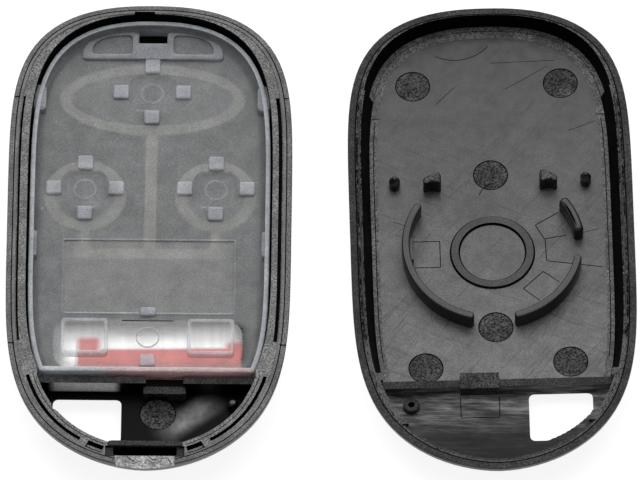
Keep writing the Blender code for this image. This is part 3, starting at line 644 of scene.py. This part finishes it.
join(front, slab(rounded(box(*ARCH_FOOT), 0.5), -4.7, -0.6, wall_grain))
join(front, slab(rounded(box(*ARCH), 0.7), -3.3, -0.03, wall_grain, crown=0.3))
carve(front, slab(box(*ARCH_STEP), -0.5, ABOVE, wall_grain))
carve(front, slab(box(*ARCH_POCKET), -2.8, ABOVE, pocket_black))
carve(front, slab(box(*LUG), -0.6, ABOVE, lug_grain))
for crack in CRACKS:
    carve(front, slab(line_between(*crack, 0.1), -0.9, ABOVE, pocket_black))
for side in SIDES:
    carve(front, slab(rim_strip(side, *CATCH_RECESS), -1.3, ABOVE, pocket_black))
    join(front, slab(rim_strip(side, *CATCH), -1.6, -0.45, rim_grain))
    for mark_y in (20.7, -16.4):
        mark = box(*sorted((side * 16.9, side * 18.6)), mark_y - 0.09, mark_y + 0.09)
        carve(front, slab(mark, -0.35, ABOVE, pocket_black))
carve(front, slab(box(*TOP_NOTCH), -0.9, ABOVE, pocket_black))
join(front, slab(box(*WALL_BLOCK), -4.9, -2.9, wall_grain))
carve(front, slab(box(*WALL_NOTCH), -2.9, ABOVE, pocket_black))
join(front, slab(oval(*BOSS, 0.72, count=24), -4.9, -3.3, pocket_gloss, crown=0.6, steps=5))


def ejector_mark(piece, x, y, radius, floor):
    """Round mark of an ejector pin: a fine dark line around a rough disc."""
    carve(piece, slab(oval(x, y, radius + 0.14), floor - 0.3, floor + 1.0, pocket_black))
    join(piece, slab(oval(x, y, radius), floor - 0.5, floor - 0.05, ejector_grain))


ejector_mark(front, 1.45, -24.05, 2.2, FRONT_RING_FLOOR)
in_front(front, "front_shell", "front_half", "black_plastic", "front_cover")

# Rear cover: the other half of the case, moulded in the same black plastic. Its flat floor
# carries the battery well and the board posts, and a thin tongue fits the front's groove.
REAR_DEPTH = 5.6
REAR_CENTRE = 21.95
REAR_BAND = 0.78
INNER_BAND = 0.05
SHEEN_BAND, SHEEN_DROP = 0.12, 0.06
REAR_WALL = 1.65
REAR_FLOOR = -2.9
TRAY_FOOT = 0.12
TRAY_DRAFT = 0.937
TOP_WALL = 1.05
TOP_WALL_START = 22.6
REAR_RING_FLOOR = -3.9
REAR_RING_WALL = 1.95
REAR_RING_HOLE = (-12.2, -4.0, -28.3, -21.4)
REAR_CROSS_TOP = -2.3
REAR_CROSS_REACH = 14.6
LOW_STEPS = ((0.35, 1.25), (0.7, 1.55))
LOW_STEP_START = -27.6
INSERT_BLOCK = (-4.7, 0.24, -21.3, -19.0)
TONGUE_EDGES = (1.30, 1.52)
TONGUE_GAP = 0.3

# The rear floor carries painted light: dark under the top wall, lighter towards the cross wall.
floor_satin_painted_light = smooth_plastic("floor_satin_painted_light", 0.018, 0.044, 0.38, 0.9, 220.0, 0.42,
                             (0.030, -0.019, (0.0, 0.15), (0.35, 1.0), (1.0, 2.6)))
strip_grain = grained_plastic("strip_grain", 0.006, 0.110, 0.42, 4200.0, 0.00016)
rear_rim_grain = grained_plastic("rear_rim_grain", 0.004, 0.045, 0.50, 4600.0, 0.00012,
                                 gloss=0.18)


def post_finish():
    """Glossy black that rippled as it left the tool, so that it shows only bright specks."""
    made, shader, place = new_finish("post_gloss", 0.16)
    black = ramp(made, noise(made, place, 900.0), (0.35, 0.002), (0.65, 0.006))
    wire(made, shader, {"Base Color": black})
    dented(made, shader, (noise(made, place, 1100.0), 1.0, 0.00050))
    return made


post_gloss = post_finish()


def rear_ring_floor_finish():
    """Black floor with brushed streaks, under painted sheen that falls from grey at the cross
    wall to black at the rim.
    """
    made, shader, place = new_finish("ring_floor_satin_painted_sheen", 0.42, gloss=0.13)
    # Painted sheen: grey near the cross wall, falling to black at the rim.
    painted_light_fall = painted_light_along(made, place, -0.0320, -0.0215, (0.0, 0.003), (0.45, 0.011), (1.0, 0.115))
    lines = noise(made, place, 1500.0, 5.0, 0.7, 9.0, 88.0)
    streaks = ramp(made, lines, (0.38, 0.25), (0.50, 0.9), (0.62, 2.2))
    wire(made, shader, {"Base Color": blended(made, painted_light_fall, streaks)})
    dented(made, shader, (lines, 0.9, 0.00010), (noise(made, place, 4200.0), 0.8, 0.00010))
    return made


ring_floor_satin_painted_sheen = rear_ring_floor_finish()


def carve_drafted(tool):
    """Narrows the selected foot of a cutter, so that its sides lean, and carves with it."""
    bpy.ops.transform.resize(value=(TRAY_DRAFT, 1.0, 1.0), center_override=(0.0, 0.0, 0.0))
    pick_faces(tool, lambda centre, normal: abs(normal.z) < 0.9)
    bpy.ops.mesh.quads_convert_to_tris()
    close_piece()
    carve(rear, tool)


rear = shell(REAR_DEPTH, shell_satin)
bands(rear, ((REAR_BAND, 0.0, rear_rim_grain), (BAND_LINE, -LINE_DROP, pocket_black),
             (BAND_LINE, LINE_DROP, pocket_black), (INNER_BAND, 0.0, rear_rim_grain),
             (SHEEN_BAND, -SHEEN_DROP, post_gloss)))
tray = slab(moved_in(case_edge, REAR_WALL), REAR_FLOOR, 0.0, pocket_black, foot=TRAY_FOOT)
open_piece(tray)
pick_facing(tray, 1.0, 0.98)
extrude_up(ABOVE)
pick_facing(tray, -1.0, 0.98)
paint_selected(tray, strip_grain)
bpy.ops.mesh.inset(thickness=1.0, depth=0.0)
paint_selected(tray, floor_satin_painted_light)
close_piece()
cut_off(tray, CROSS_WALL[1], True)
open_piece(tray)
pick_faces(tray, lambda centre, normal: centre.z < REAR_FLOOR + TRAY_FOOT)
carve_drafted(tray)
thin_top = slab(kept(moved_in(case_edge, TOP_WALL), TOP_WALL_START, True), REAR_FLOOR + 0.02,
                ABOVE, pocket_black)
open_piece(thin_top)
pick_facing(thin_top, -1.0, 0.98)
paint_selected(thin_top, strip_grain)
carve_drafted(thin_top)
carve(rear, ring_pocket(REAR_RING_FLOOR, ring_floor_satin_painted_sheen, REAR_RING_WALL))
carve(rear, leaning_hole(mirrored(ring_hole(*REAR_RING_HOLE)), REAR_DEPTH))
cut_cross_wall(rear, REAR_CROSS_REACH, REAR_CROSS_TOP)
for drop, inset in LOW_STEPS:
    carve(rear, slab(kept(moved_in(case_edge, inset), LOW_STEP_START, False), -drop, ABOVE,
                     rear_rim_grain))
join(rear, slab(box(*INSERT_BLOCK), -4.2, REAR_CROSS_TOP + 0.15, ejector_grain))
for side in SIDES:
    tongue = rim_strip(side, *TONGUE_EDGES, GROOVE_ENDS[0] + TONGUE_GAP,
                       GROOVE_ENDS[1] - TONGUE_GAP)
    join(rear, slab(tongue, -0.6, 0.8, rear_rim_grain))

# Battery well: two long curved walls and a catch around the coin cell, a low ring that the
# cell rests on, and the fine lines that the mould's inserts leave on the floor.
WELL = (0.0, -0.6)
WELL_RADIUS = 10.6
WELL_HEIGHT = 2.4
WELL_WALLS = ((148.0, 254.0, 1.0, 0.22), (-74.6, -12.5, 1.0, 0.22), (10.5, 34.0, 1.3, 0.5))
FIN_ARCS = ((171.0, 189.0), (-54.0, -30.0))
ROOT = 0.3
INSERT_LINES = ((-10.3, 1.3, -6.7, 1.3), (-6.7, 1.3, -6.7, -2.6), (-6.7, -2.6, -10.1, -2.6),
                (5.6, 3.4, 8.7, 5.3), (5.6, 3.4, 6.7, 1.3), (6.7, 1.3, 9.6, 1.8),
                (6.8, 1.3, 6.9, -2.0), (6.9, -2.0, 14.0, -3.1), (3.8, -6.1, 6.4, -3.6),
                (3.8, -6.1, 5.8, -7.9), (6.4, -3.6, 8.4, -5.2))
RING_FLOOR_LINES = ((-4.7, -21.6, -4.7, -24.65), (-4.7, -24.65, 0.24, -24.65),
                    (0.24, -24.65, 0.24, -21.6))
SCRATCHES = ((0.6, 28.1, 8.8, 28.3), (2.4, 24.1, 7.8, 27.4), (-6.6, 22.0, -4.1, 24.6),
             (10.3, 17.6, 13.6, 18.9), (-12.6, 4.4, -10.9, 3.7), (11.6, 2.1, 13.8, 2.7))
EJECTOR_SPOTS = ((-9.5, 24.8), (9.5, 24.8), (0.1, 11.1), (0.1, -11.8), (-9.0, -17.7),
                 (9.5, -17.2))

well_satin = smooth_plastic("well_satin", 0.006, 0.016, 0.30, 0.15, gloss=0.4)
seat_grain = grained_plastic("seat_grain", 0.006, 0.028, 0.45, 5200.0, 0.00004, gloss=0.35)


def score(piece, points, floor, depth=0.1):
    """A fine line of the mould, as a shallow groove of this outline."""
    carve(piece, slab(points, floor - depth, floor + 0.6, pocket_black))


def arc_wall(centre, radius, wall, start, end, steps=40, nose=0.42):
    """A wall bent round a centre, between two angles in degrees, with rounded ends."""
    turns = [math.radians(start + (end - start) * step / steps) for step in range(steps + 1)]
    rays = [Vector((math.cos(turn), math.sin(turn))) for turn in turns]
    middle = Vector(centre)
    points = [middle + ray * (radius + wall) for ray in rays]
    for ray, side in ((rays[-1], 1.0), (rays[0], -1.0)):
        along = Vector((-ray.y, ray.x)) * side
        for step in range(1, 8) if nose else ():
            turn = math.pi * step / 8.0
            across = radius + wall / 2.0 + side * wall / 2.0 * math.cos(turn)
            points.append(middle + ray * across + along * nose * math.sin(turn))
        if side > 0.0:
            points += [middle + ray * radius for ray in reversed(rays)]
    return points


def stand(outline, height, finish, crown=0.0, steps=3):
    """Joins a raised form to the rear floor, rooted a little below it."""
    join(rear, slab(outline, REAR_FLOOR - ROOT, REAR_FLOOR + height, finish, crown=crown,
                    steps=steps))


for radius, rise, finish in ((5.35, 0.30, seat_grain), (4.23, 0.0, floor_satin_painted_light)):
    score(rear, oval(*WELL, radius + 0.13, count=72), REAR_FLOOR, 0.16)
    join(rear, slab(oval(*WELL, radius - 0.09, count=72), REAR_FLOOR - 0.4, REAR_FLOOR + rise,
                    finish))
for start, end, wall, crown in WELL_WALLS:
    stand(arc_wall(WELL, WELL_RADIUS, wall, start, end), WELL_HEIGHT, well_satin, crown)
for start, end in FIN_ARCS:
    stand(arc_wall(WELL, 10.25, 0.5, start, end, 12, 0.0), 1.5, well_satin)
for line in INSERT_LINES:
    score(rear, line_between(*line), REAR_FLOOR)
for line in RING_FLOOR_LINES:
    score(rear, line_between(*line), REAR_RING_FLOOR)
for x, y in EJECTOR_SPOTS:
    ejector_mark(rear, x, y, 2.12, REAR_FLOOR)
score(rear, arc_wall((0.9, 7.6), 2.3, 0.12, 112.0, 168.0, 12, 0.0), REAR_FLOOR)
for scratch in SCRATCHES:
    score(rear, line_between(*scratch, 0.07), REAR_FLOOR, 0.05)
score(rear, arc_wall((-3.9, 34.0), 5.3, 0.1, -118.0, -38.0, 16, 0.0), REAR_FLOOR, 0.05)
for side in SIDES:
    score(rear, rim_strip(side, 3.25, 3.37, -18.0, 20.0), REAR_FLOOR)
    score(rear, line_between(side * 13.9, 20.0, side * 14.9, 20.0), REAR_FLOOR)

# Board posts: two pointed pins and two three-sided posts that the circuit board drops over,
# and the low socket that meets the boss of the front half. All are moulded with the floor.
PIN = (12.25, 9.7)
POST = ((6.30, 8.75), (6.95, 8.75), (7.20, 8.95), (7.85, 8.95), (8.05, 8.75), (8.60, 8.75),
        (8.60, 9.55), (7.10, 10.45), (6.45, 10.45), (6.30, 9.90))
POST_HEIGHT = 2.3

for side in SIDES:
    pin = slab(oval(side * PIN[0], PIN[1], 0.72, count=24), REAR_FLOOR - ROOT,
               REAR_FLOOR + 1.3, post_gloss)
    open_piece(pin)
    pick_facing(pin, 1.0)
    bpy.ops.mesh.inset(thickness=0.25, depth=0.25)
    bpy.ops.mesh.inset(thickness=0.35, depth=0.55)
    close_piece()
    join(rear, pin)
post = [Vector(spot) for spot in POST]
for outline in (post, mirrored(post)):
    stand(rounded(outline, 0.3), POST_HEIGHT, post_gloss, 0.3, 4)
join(rear, slab(oval(-BOSS[0], BOSS[1], 1.05), REAR_RING_FLOOR - ROOT, REAR_RING_FLOOR + 0.7,
                wall_grain, crown=0.3))
carve(rear, slab(oval(-BOSS[0], BOSS[1], 0.42), REAR_RING_FLOOR + 0.15, ABOVE, pocket_black))
settle(rear, "rear_shell", REAR_CENTRE, LEAN, REAR_DEPTH)
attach(rear, "rear_half")
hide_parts("rear_cover")

# Button pad: one soft sheet of cloudy silicone in an upstanding wall. Small feet, wings and
# blocks on it press on the circuit board, and thin windows let the keys through.
PAD_FACE = -3.0
PAD_UNDERSIDE = -4.0
PAD_WALL_TOP = -1.3
PAD_WALL = 0.6
PAD_FILLET = 1.1
PAD_ROOT = -3.6
THROUGH = -6.0
FOOT_HALF = 1.02
FOOT_TOP = -2.6
UPPER_KEYS = ("lock", "unlock", "trunk")
FEET_ROUND_KEY = ((-4.0, 0.0), (4.0, 0.0), (0.0, -3.8), (0.0, 3.8))
PLUNGER_WINDOW = (2.95, 2.70, 0.95)
WING = (1.8, 28.15, 7.4, 4.3, 0.8)
WING_FLOOR = (2.65, 28.9, 5.2, 2.95, 0.6)
BRIDGE = (-2.6, 2.6, 28.2, 30.5)
HOOK_SLOT = (-1.8, 1.8, 30.7, 32.5, 0.15)
EAR_HALF = 1.9
EARS = ((21.6, 13.55), (-0.4, 14.35))
PANE = (-10.9, 10.9, -9.9, 0.95, 0.2)
BLOCK_REACH = (5.05, 11.1)
BLOCK_ENDS = (-16.6, -11.2)
BLOCK_ROOT, BLOCK_TOP = -3.4, -2.1


def silicone_finish(name, colour, alpha, roughness=0.42, clear=None, painted_red_glow=None):
    """Cloudy silicone rubber: a milky skin that lets some of what is under it show. A pink tint,
    where given, is painted glow of the red key's light.
    """
    made, shader, place = new_finish(name, roughness, 1.41)
    wire(made, shader, {"Subsurface Weight": 1.0, "Subsurface Radius": (1.0, 1.0, 1.0),
                        "Subsurface Scale": 0.0015, "Alpha": alpha})
    deep = tuple(channel * 0.84 for channel in colour)
    pale = tuple(min(1.0, channel * 1.16) for channel in colour)
    cloud = ramp(made, noise(made, place, 300.0, 6.0, 0.7), (0.36, deep), (0.64, pale))
    grit = ramp(made, noise(made, place, 5200.0, 2.0), (0.36, 0.80), (0.64, 1.18))
    dust = ramp(made, noise(made, place, 4600.0, 1.0), (0.74, 0.0), (0.80, 0.5))
    cloud = blended(made, cloud, grit)
    # Painted pink glow of the red key's light, on the wall beside it.
    if painted_red_glow:
        red_glow_mask = faded(made, place, front_spot(-7.0, -20.9), front_spot(16.0, -18.7), 0.0040,
                       0.0002)
        cloud = blended(made, cloud, blended(made, cloud, painted_red_glow), "MIX", red_glow_mask)
    wire(made, shader, {"Base Color": blended(made, cloud, dust, "ADD")})
    if clear:
        mask = faded(made, place, front_spot(-11.6, -18.6), front_spot(13.2, -10.6),
                     0.0020, 0.0018)
        wire(made, shader, {"Alpha": ramp(made, mask, (0.0, alpha), (1.0, clear))})
    drawn = noise(made, place, 1400.0, 3.0, 0.6, 12.0)
    dented(made, shader, (drawn, 0.35, 0.00002), (noise(made, place, 4200.0), 0.4, 0.00003))
    return made


silicone = silicone_finish("silicone", (0.225, 0.235, 0.237), 0.62, clear=0.07)
silicone_thick = silicone_finish("silicone_thick", (0.38, 0.40, 0.43), 0.50)
# The wall's silicone is painted lighter, as painted glow of the light that shines through it.
silicone_wall_painted_glow = silicone_finish("silicone_wall_painted_glow", (0.40, 0.42, 0.45), 0.80,
                                painted_red_glow=(1.25, 0.88, 0.84))
silicone_foot = silicone_finish("silicone_foot", (0.33, 0.345, 0.38), 0.74)
silicone_under = silicone_finish("silicone_under", (0.225, 0.235, 0.237), 0.03)
silicone_pane = silicone_finish("silicone_pane", (0.24, 0.245, 0.24), 0.72)
silicone_clear = silicone_finish("silicone_clear", (0.60, 0.60, 0.60), 0.12)


def key_window(name, growth=0.0):
    """Eight-sided outline around a key's plunger."""
    x, y = KEY_SPOTS[name]
    half_x, half_y = PLUNGER_WINDOW[0] + growth, PLUNGER_WINDOW[1] + growth
    corner = PLUNGER_WINDOW[2]
    corners = ((half_x, -half_y + corner), (half_x, half_y - corner),
               (half_x - corner, half_y), (corner - half_x, half_y),
               (-half_x, half_y - corner), (-half_x, corner - half_y),
               (corner - half_x, -half_y), (half_x - corner, -half_y))
    return rounded([Vector((x + a, y + b)) for a, b in corners], 0.5)


def wing_edge(low_x, low_y, width, height, corner):
    """A full quarter of an egg with its corners rounded."""
    turns = [math.pi / 2.0 * step / 6.0 for step in range(7)]
    arc = [Vector((low_x + width * math.cos(turn) ** 0.75,
                   low_y + height * math.sin(turn) ** 0.75)) for turn in turns]
    return rounded([Vector((low_x, low_y))] + arc, corner, least=math.radians(50.0))


def foot(x, y, half_x=FOOT_HALF, half_y=FOOT_HALF):
    join(pad, slab(box(x - half_x, x + half_x, y - half_y, y + half_y, 0.32), PAD_ROOT,
                   FOOT_TOP, silicone_foot, crown=0.25))


pad = slab(pad_edge(0.0), PAD_UNDERSIDE, PAD_WALL_TOP, silicone_wall_painted_glow, foot=0.15, crown=0.15)
inside = slab(moved_in(egg(PAD_HALF_WIDTH, PAD_TOP, PAD_BOTTOM), PAD_WALL), PAD_FACE, ABOVE,
              silicone, foot=PAD_FILLET, steps=6)
carve(pad, cut_off(inside, PAD_LOW_EDGE + PAD_WALL, True))
carve(pad, slab(pad_edge(0.0, 0.5), PAD_UNDERSIDE - 1.0, PAD_UNDERSIDE + 0.02,
                silicone_under))
for name in UPPER_KEYS:
    carve(pad, slab(key_window(name), THROUGH, ABOVE, silicone_thick))
wing, wing_floor = wing_edge(*WING), wing_edge(*WING_FLOOR)
for outline, hollow in ((wing, wing_floor), (mirrored(wing), mirrored(wing_floor))):
    join(pad, slab(outline, PAD_ROOT, PAD_FACE + 0.45, silicone_thick, crown=0.25))
    carve(pad, slab(hollow, PAD_FACE + 0.1, ABOVE, silicone, foot=0.1))
join(pad, slab(box(*BRIDGE), PAD_ROOT, PAD_FACE + 0.5, silicone_thick))
carve(pad, slab(box(*HOOK_SLOT), THROUGH, ABOVE, silicone_thick))
foot(0.0, 27.3, 1.0, 1.15)
for name in UPPER_KEYS:
    x, y = KEY_SPOTS[name]
    for step_x, step_y in FEET_ROUND_KEY[:3 if name == "lock" else 4]:
        foot(x + step_x, y + step_y)
for side in SIDES:
    for ear_y, reach in EARS:
        low_x, high_x = sorted((side * reach, side * 15.2))
        ear = box(low_x, high_x, ear_y - EAR_HALF, ear_y + EAR_HALF, 0.42 * (high_x - low_x))
        join(pad, slab(ear, PAD_ROOT, -1.5, silicone_thick, crown=0.15))
pane = box(*PANE)
join(pad, slab(moved_in(pane, -0.25), PAD_ROOT, PAD_FACE + 0.08, silicone_thick, crown=0.05))
carve(pad, slab(pane, PAD_FACE - 0.12, ABOVE, silicone_pane))
for side in SIDES:
    low_x, high_x = sorted(side * reach for reach in BLOCK_REACH)
    join(pad, slab(box(low_x, high_x, *BLOCK_ENDS, 0.55), BLOCK_ROOT, BLOCK_TOP,
                   silicone_thick, crown=0.2))
    carve(pad, slab(box(low_x + 0.5, high_x - 0.5, -16.1, -11.7, 0.3), PAD_FACE, ABOVE,
                    silicone_clear, foot=0.1))
foot(0.0, -9.85, 1.0, 0.65)
foot(0.0, -17.1, 1.0, 0.9)
score(pad, line_between(-3.3, -11.1, 3.3, -11.1, 0.16), PAD_FACE)
in_front(pad, "silicone_pad", "front_half", "silicone", "button_pad")

# Membranes: the thin parts of the pad over the plungers, which dish when a key is pressed.
# Each is moulded with the pad. Over the panic key the silicone has only a small raised ring.
SKIN = (-3.72, -3.03)
PIP_RADIUS = 1.5


def ring_around(x, y, width, low, high, finish):
    ring = slab(oval(x, y, PIP_RADIUS, count=48), low, high, finish)
    carve(ring, slab(oval(x, y, PIP_RADIUS - width, count=48), low - 1.0, high + 1.0, finish))
    return ring


for name in UPPER_KEYS:
    x, y = KEY_SPOTS[name]
    skin = slab(moved_in(key_window(name), 0.01), *SKIN, silicone)
    open_piece(skin)
    pick_facing(skin, 1.0)
    bpy.ops.mesh.inset(thickness=0.06, depth=0.0)
    bpy.ops.mesh.inset(thickness=0.30, depth=-0.17)
    pick_facing(skin, -1.0)
    paint_selected(skin, silicone_under)
    close_piece()
    join(skin, ring_around(x, y, 0.25, PAD_ROOT, -3.16, silicone_thick))
    settle(skin, name + "_membrane", FRONT_CENTRE, -LEAN, FRONT_DEPTH)
    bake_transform(skin)
x, y = KEY_SPOTS["panic"]
pip = ring_around(x, y + 0.3, 0.14, PAD_FACE - 0.1, PAD_FACE + 0.12, silicone_thick)
in_front(pip, "panic_pip", "front_half", "silicone")

# Keys: black moulded caps that show through the front cover, each on a pale ring that holds
# it up from behind, with a plunger that reaches the silicone. A pale carrier links the rings.
CAP_FACE = -6.6
CAP_ROUND = 0.45
FLANGE = (-5.2, -4.7)
FLANGE_GROWTH = 1.6
PLUNGER_TOP = -3.80


def beige_finish(name, dark, light):
    """Satin moulded plastic with a faint cloud and fine grain."""
    made, shader, place = new_finish(name, 0.48)
    cloud = ramp(made, noise(made, place, 260.0, 4.0), (0.3, dark), (0.7, light))
    wire(made, shader, {"Base Color": cloud})
    dented(made, shader, (noise(made, place, 3000.0), 0.35, 0.00003))
    return made


def key_cap(name, finish):
    return slab(key_edge(name, 0.0), CAP_FACE, FLANGE[0] + 0.1, finish, foot=CAP_ROUND,
                steps=5)


key_satin = grained_plastic("key_satin", 0.022, 0.036, 0.38, 4600.0, 0.00002)
carrier_beige = beige_finish("carrier_beige", (0.38, 0.36, 0.30), (0.50, 0.47, 0.40))
for name in UPPER_KEYS:
    cap = key_cap(name, key_satin)
    join(cap, slab(key_edge(name, 0.35), FLANGE[0], FLANGE[1] - 0.2, key_satin))
    join(cap, slab(key_window(name, -0.35), FLANGE[0], PLUNGER_TOP, key_satin, crown=0.15))
    in_front(cap, name + "_cap", name + "_key", "key_plastic", name + "_button")
    ring = slab(key_edge(name, FLANGE_GROWTH), *FLANGE, carrier_beige, foot=0.1, crown=0.1)
    carve(ring, slab(key_edge(name, 0.1), FLANGE[0] - 1.0, FLANGE[1] + 1.0, carrier_beige))
    in_front(ring, name + "_key_ring", name + "_key", "carrier_plastic")
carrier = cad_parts["key_carrier"]
carrier.material_slots[0].material = carrier_beige

# Panic key: a red moulded cap whose flange is a wide seat, painted white: painted light for the
# table seen through the key's hole. A red bar with two small ears lies along the seat's lower
# edge and shows through the pad.
SEAT = (-12.1, 12.1, -17.3, -9.9, 2.4, 8)
BAR = ((-9.3, -17.2), (12.0, -17.2), (12.0, -13.4), (10.6, -13.5), (10.2, -14.0),
       (-5.7, -13.9), (-6.3, -12.9), (-9.0, -13.0))
BAR_TOP = -4.62
RED_SPOTS = (((-9.3, -18.6), (12.3, -13.7), 0.0007), ((-9.5, -17.8), (-5.6, -12.0), 0.0012),
             ((9.5, -17.8), (13.0, -12.5), 0.0012))


def panic_face_finish():
    """White satin, painted light for the table seen through the hole, with painted shade that
    falls to grey at its upper edge and ends, and the soft-edged red on it.
    """
    made, shader, place = new_finish("panic_face_red_and_painted_light", 0.35, 1.75, 1.0)
    # Painted shade: grey at the seat's upper edge, white below it.
    painted_light_fall = painted_light_along(made, place, -0.0105, -0.0140, (0.0, 0.30), (0.45, 0.80), (0.85, 1.0))
    streaks = ramp(made, noise(made, place, 1500.0, 3.0, 0.6, 14.0), (0.38, 0.86),
                   (0.62, 1.0))
    # Painted shade: the white falls to dark grey towards the seat's ends.
    ends = faded(made, place, front_spot(-12.3, -20.0), front_spot(12.1, -9.0), 0.0018, 0.0001)
    white = blended(made, (0.16, 0.16, 0.16), blended(made, painted_light_fall, streaks), "MIX", ends)
    red = ramp(made, noise(made, place, 700.0, 4.0), (0.38, (0.48, 0.030, 0.020)),
               (0.62, (0.62, 0.050, 0.034)))
    bar, left_ear, right_ear = (faded(made, place, front_spot(*low), front_spot(*high), blur,
                                      blur) for low, high, blur in RED_SPOTS)
    mask = blended(made, bar, blended(made, left_ear, right_ear, "LIGHTEN"), "LIGHTEN")
    wire(made, shader, {"Base Color": blended(made, white, red, "MIX", mask),
                        "Roughness": ramp(made, mask, (0.0, 0.24), (1.0, 0.55))})
    dented(made, shader, (noise(made, place, 900.0), 0.2, 0.00003))
    return made


red_satin = beige_finish("panic_red", (0.56, 0.060, 0.045), (0.68, 0.085, 0.062))
panic_face_red_and_painted_light = panic_face_finish()
panic = key_cap("panic", red_satin)
join(panic, slab(box(*SEAT), *FLANGE, panic_face_red_and_painted_light))
bar = rounded([Vector(spot) for spot in BAR], 0.5)
join(panic, slab(bar, FLANGE[0] + 0.1, BAR_TOP, panic_face_red_and_painted_light, crown=0.07))
in_front(panic, "panic_key", "panic_key", "panic_red", "panic_button")

# Room: a white table, one large softbox behind the table, and a long lens from the front.
# The table is plain white to the eye and keeps only a faint shadow under the case.
TABLE_WIDTH = 8.0
TABLE_GREY = (0.80, 0.80, 0.80, 1.0)
TABLE_GLOW = 0.88
SHADOW_GREY = (0.22, 0.22, 0.22, 1.0)
WHITE = (1.0, 1.0, 1.0, 1.0)
SKY_STRENGTH = 0.36
ELEVATION = math.radians(58.2)
SOFTBOX_DISTANCE = 0.8
SOFTBOX_WIDTH = 1.1
SOFTBOX_POWER = 9.8
DISTANCE = 2.7
AIM = Vector((-0.0001, 0.0032, 0.0))
ROLL = math.radians(-0.45)
SENSOR_WIDTH = 36.0
LENS = 1184.6


def show_to_eye(made, eye, hidden, seen, output):
    """Shows one shader to the eye, while the other lights the case."""
    choice = add_node(made, "MixShader", {"Fac": eye, 1: hidden.outputs[0],
                                          2: seen.outputs[0]})
    wire(made, made.node_tree.nodes[output], {"Surface": choice.outputs[0]})


bpy.ops.object.select_all(action="DESELECT")
bpy.ops.mesh.primitive_plane_add(size=TABLE_WIDTH, location=(0.0, 0.0, 0.0))
table = bpy.context.object
table.name = "table_top"
table_white = bpy.data.materials.new("table_white")
table_white.use_nodes = True
table.data.materials.append(table_white)
plain = wire(table_white, table_white.node_tree.nodes["Principled BSDF"],
             {"Base Color": TABLE_GREY, "Roughness": 0.9})
glow = add_node(table_white, "Emission", {"Strength": TABLE_GLOW})
shadow = add_node(table_white, "BsdfDiffuse", {"Color": SHADOW_GREY})
seen = add_node(table_white, "AddShader", {0: glow.outputs[0], 1: shadow.outputs[0]})
rays = add_node(table_white, "LightPath", {}).outputs
eye = rays["Is Camera Ray"]
for kind in ("Is Glossy Ray", "Is Transmission Ray"):
    either = add_node(table_white, "Math", {0: eye, 1: rays[kind]})
    either.operation = "MAXIMUM"
    eye = either.outputs[0]
show_to_eye(table_white, eye, plain, seen, "Material Output")

world = bpy.data.worlds.new("studio")
bpy.context.scene.world = world
world.use_nodes = True
sky = wire(world, world.node_tree.nodes["Background"],
           {"Color": WHITE, "Strength": SKY_STRENGTH})
bright = add_node(world, "Background", {"Color": WHITE, "Strength": 1.0})
rays = add_node(world, "LightPath", {}).outputs
show_to_eye(world, rays["Is Camera Ray"], sky, bright, "World Output")

light = bpy.data.lights.new("softbox", "AREA")
light.shape = "SQUARE"
light.size = SOFTBOX_WIDTH
light.energy = SOFTBOX_POWER
softbox = bpy.data.objects.new("softbox", light)
bpy.context.scene.collection.objects.link(softbox)
ray = Vector((0.0, math.cos(ELEVATION), math.sin(ELEVATION)))
softbox.location = ray * SOFTBOX_DISTANCE
softbox.rotation_euler = ray.to_track_quat("Z", "Y").to_euler()

view = bpy.data.cameras.new("camera")
camera = bpy.data.objects.new("camera", view)
bpy.context.scene.collection.objects.link(camera)
camera.location = AIM + DISTANCE * Vector((0.0, -math.cos(ELEVATION), math.sin(ELEVATION)))
camera.rotation_euler = (math.pi / 2.0 - ELEVATION, 0.0, 0.0)
camera.rotation_euler.rotate_axis("Z", ROLL)
view.sensor_width = SENSOR_WIDTH
view.lens = LENS
bpy.context.scene.camera = camera
bpy.context.scene.view_settings.view_transform = "Standard"
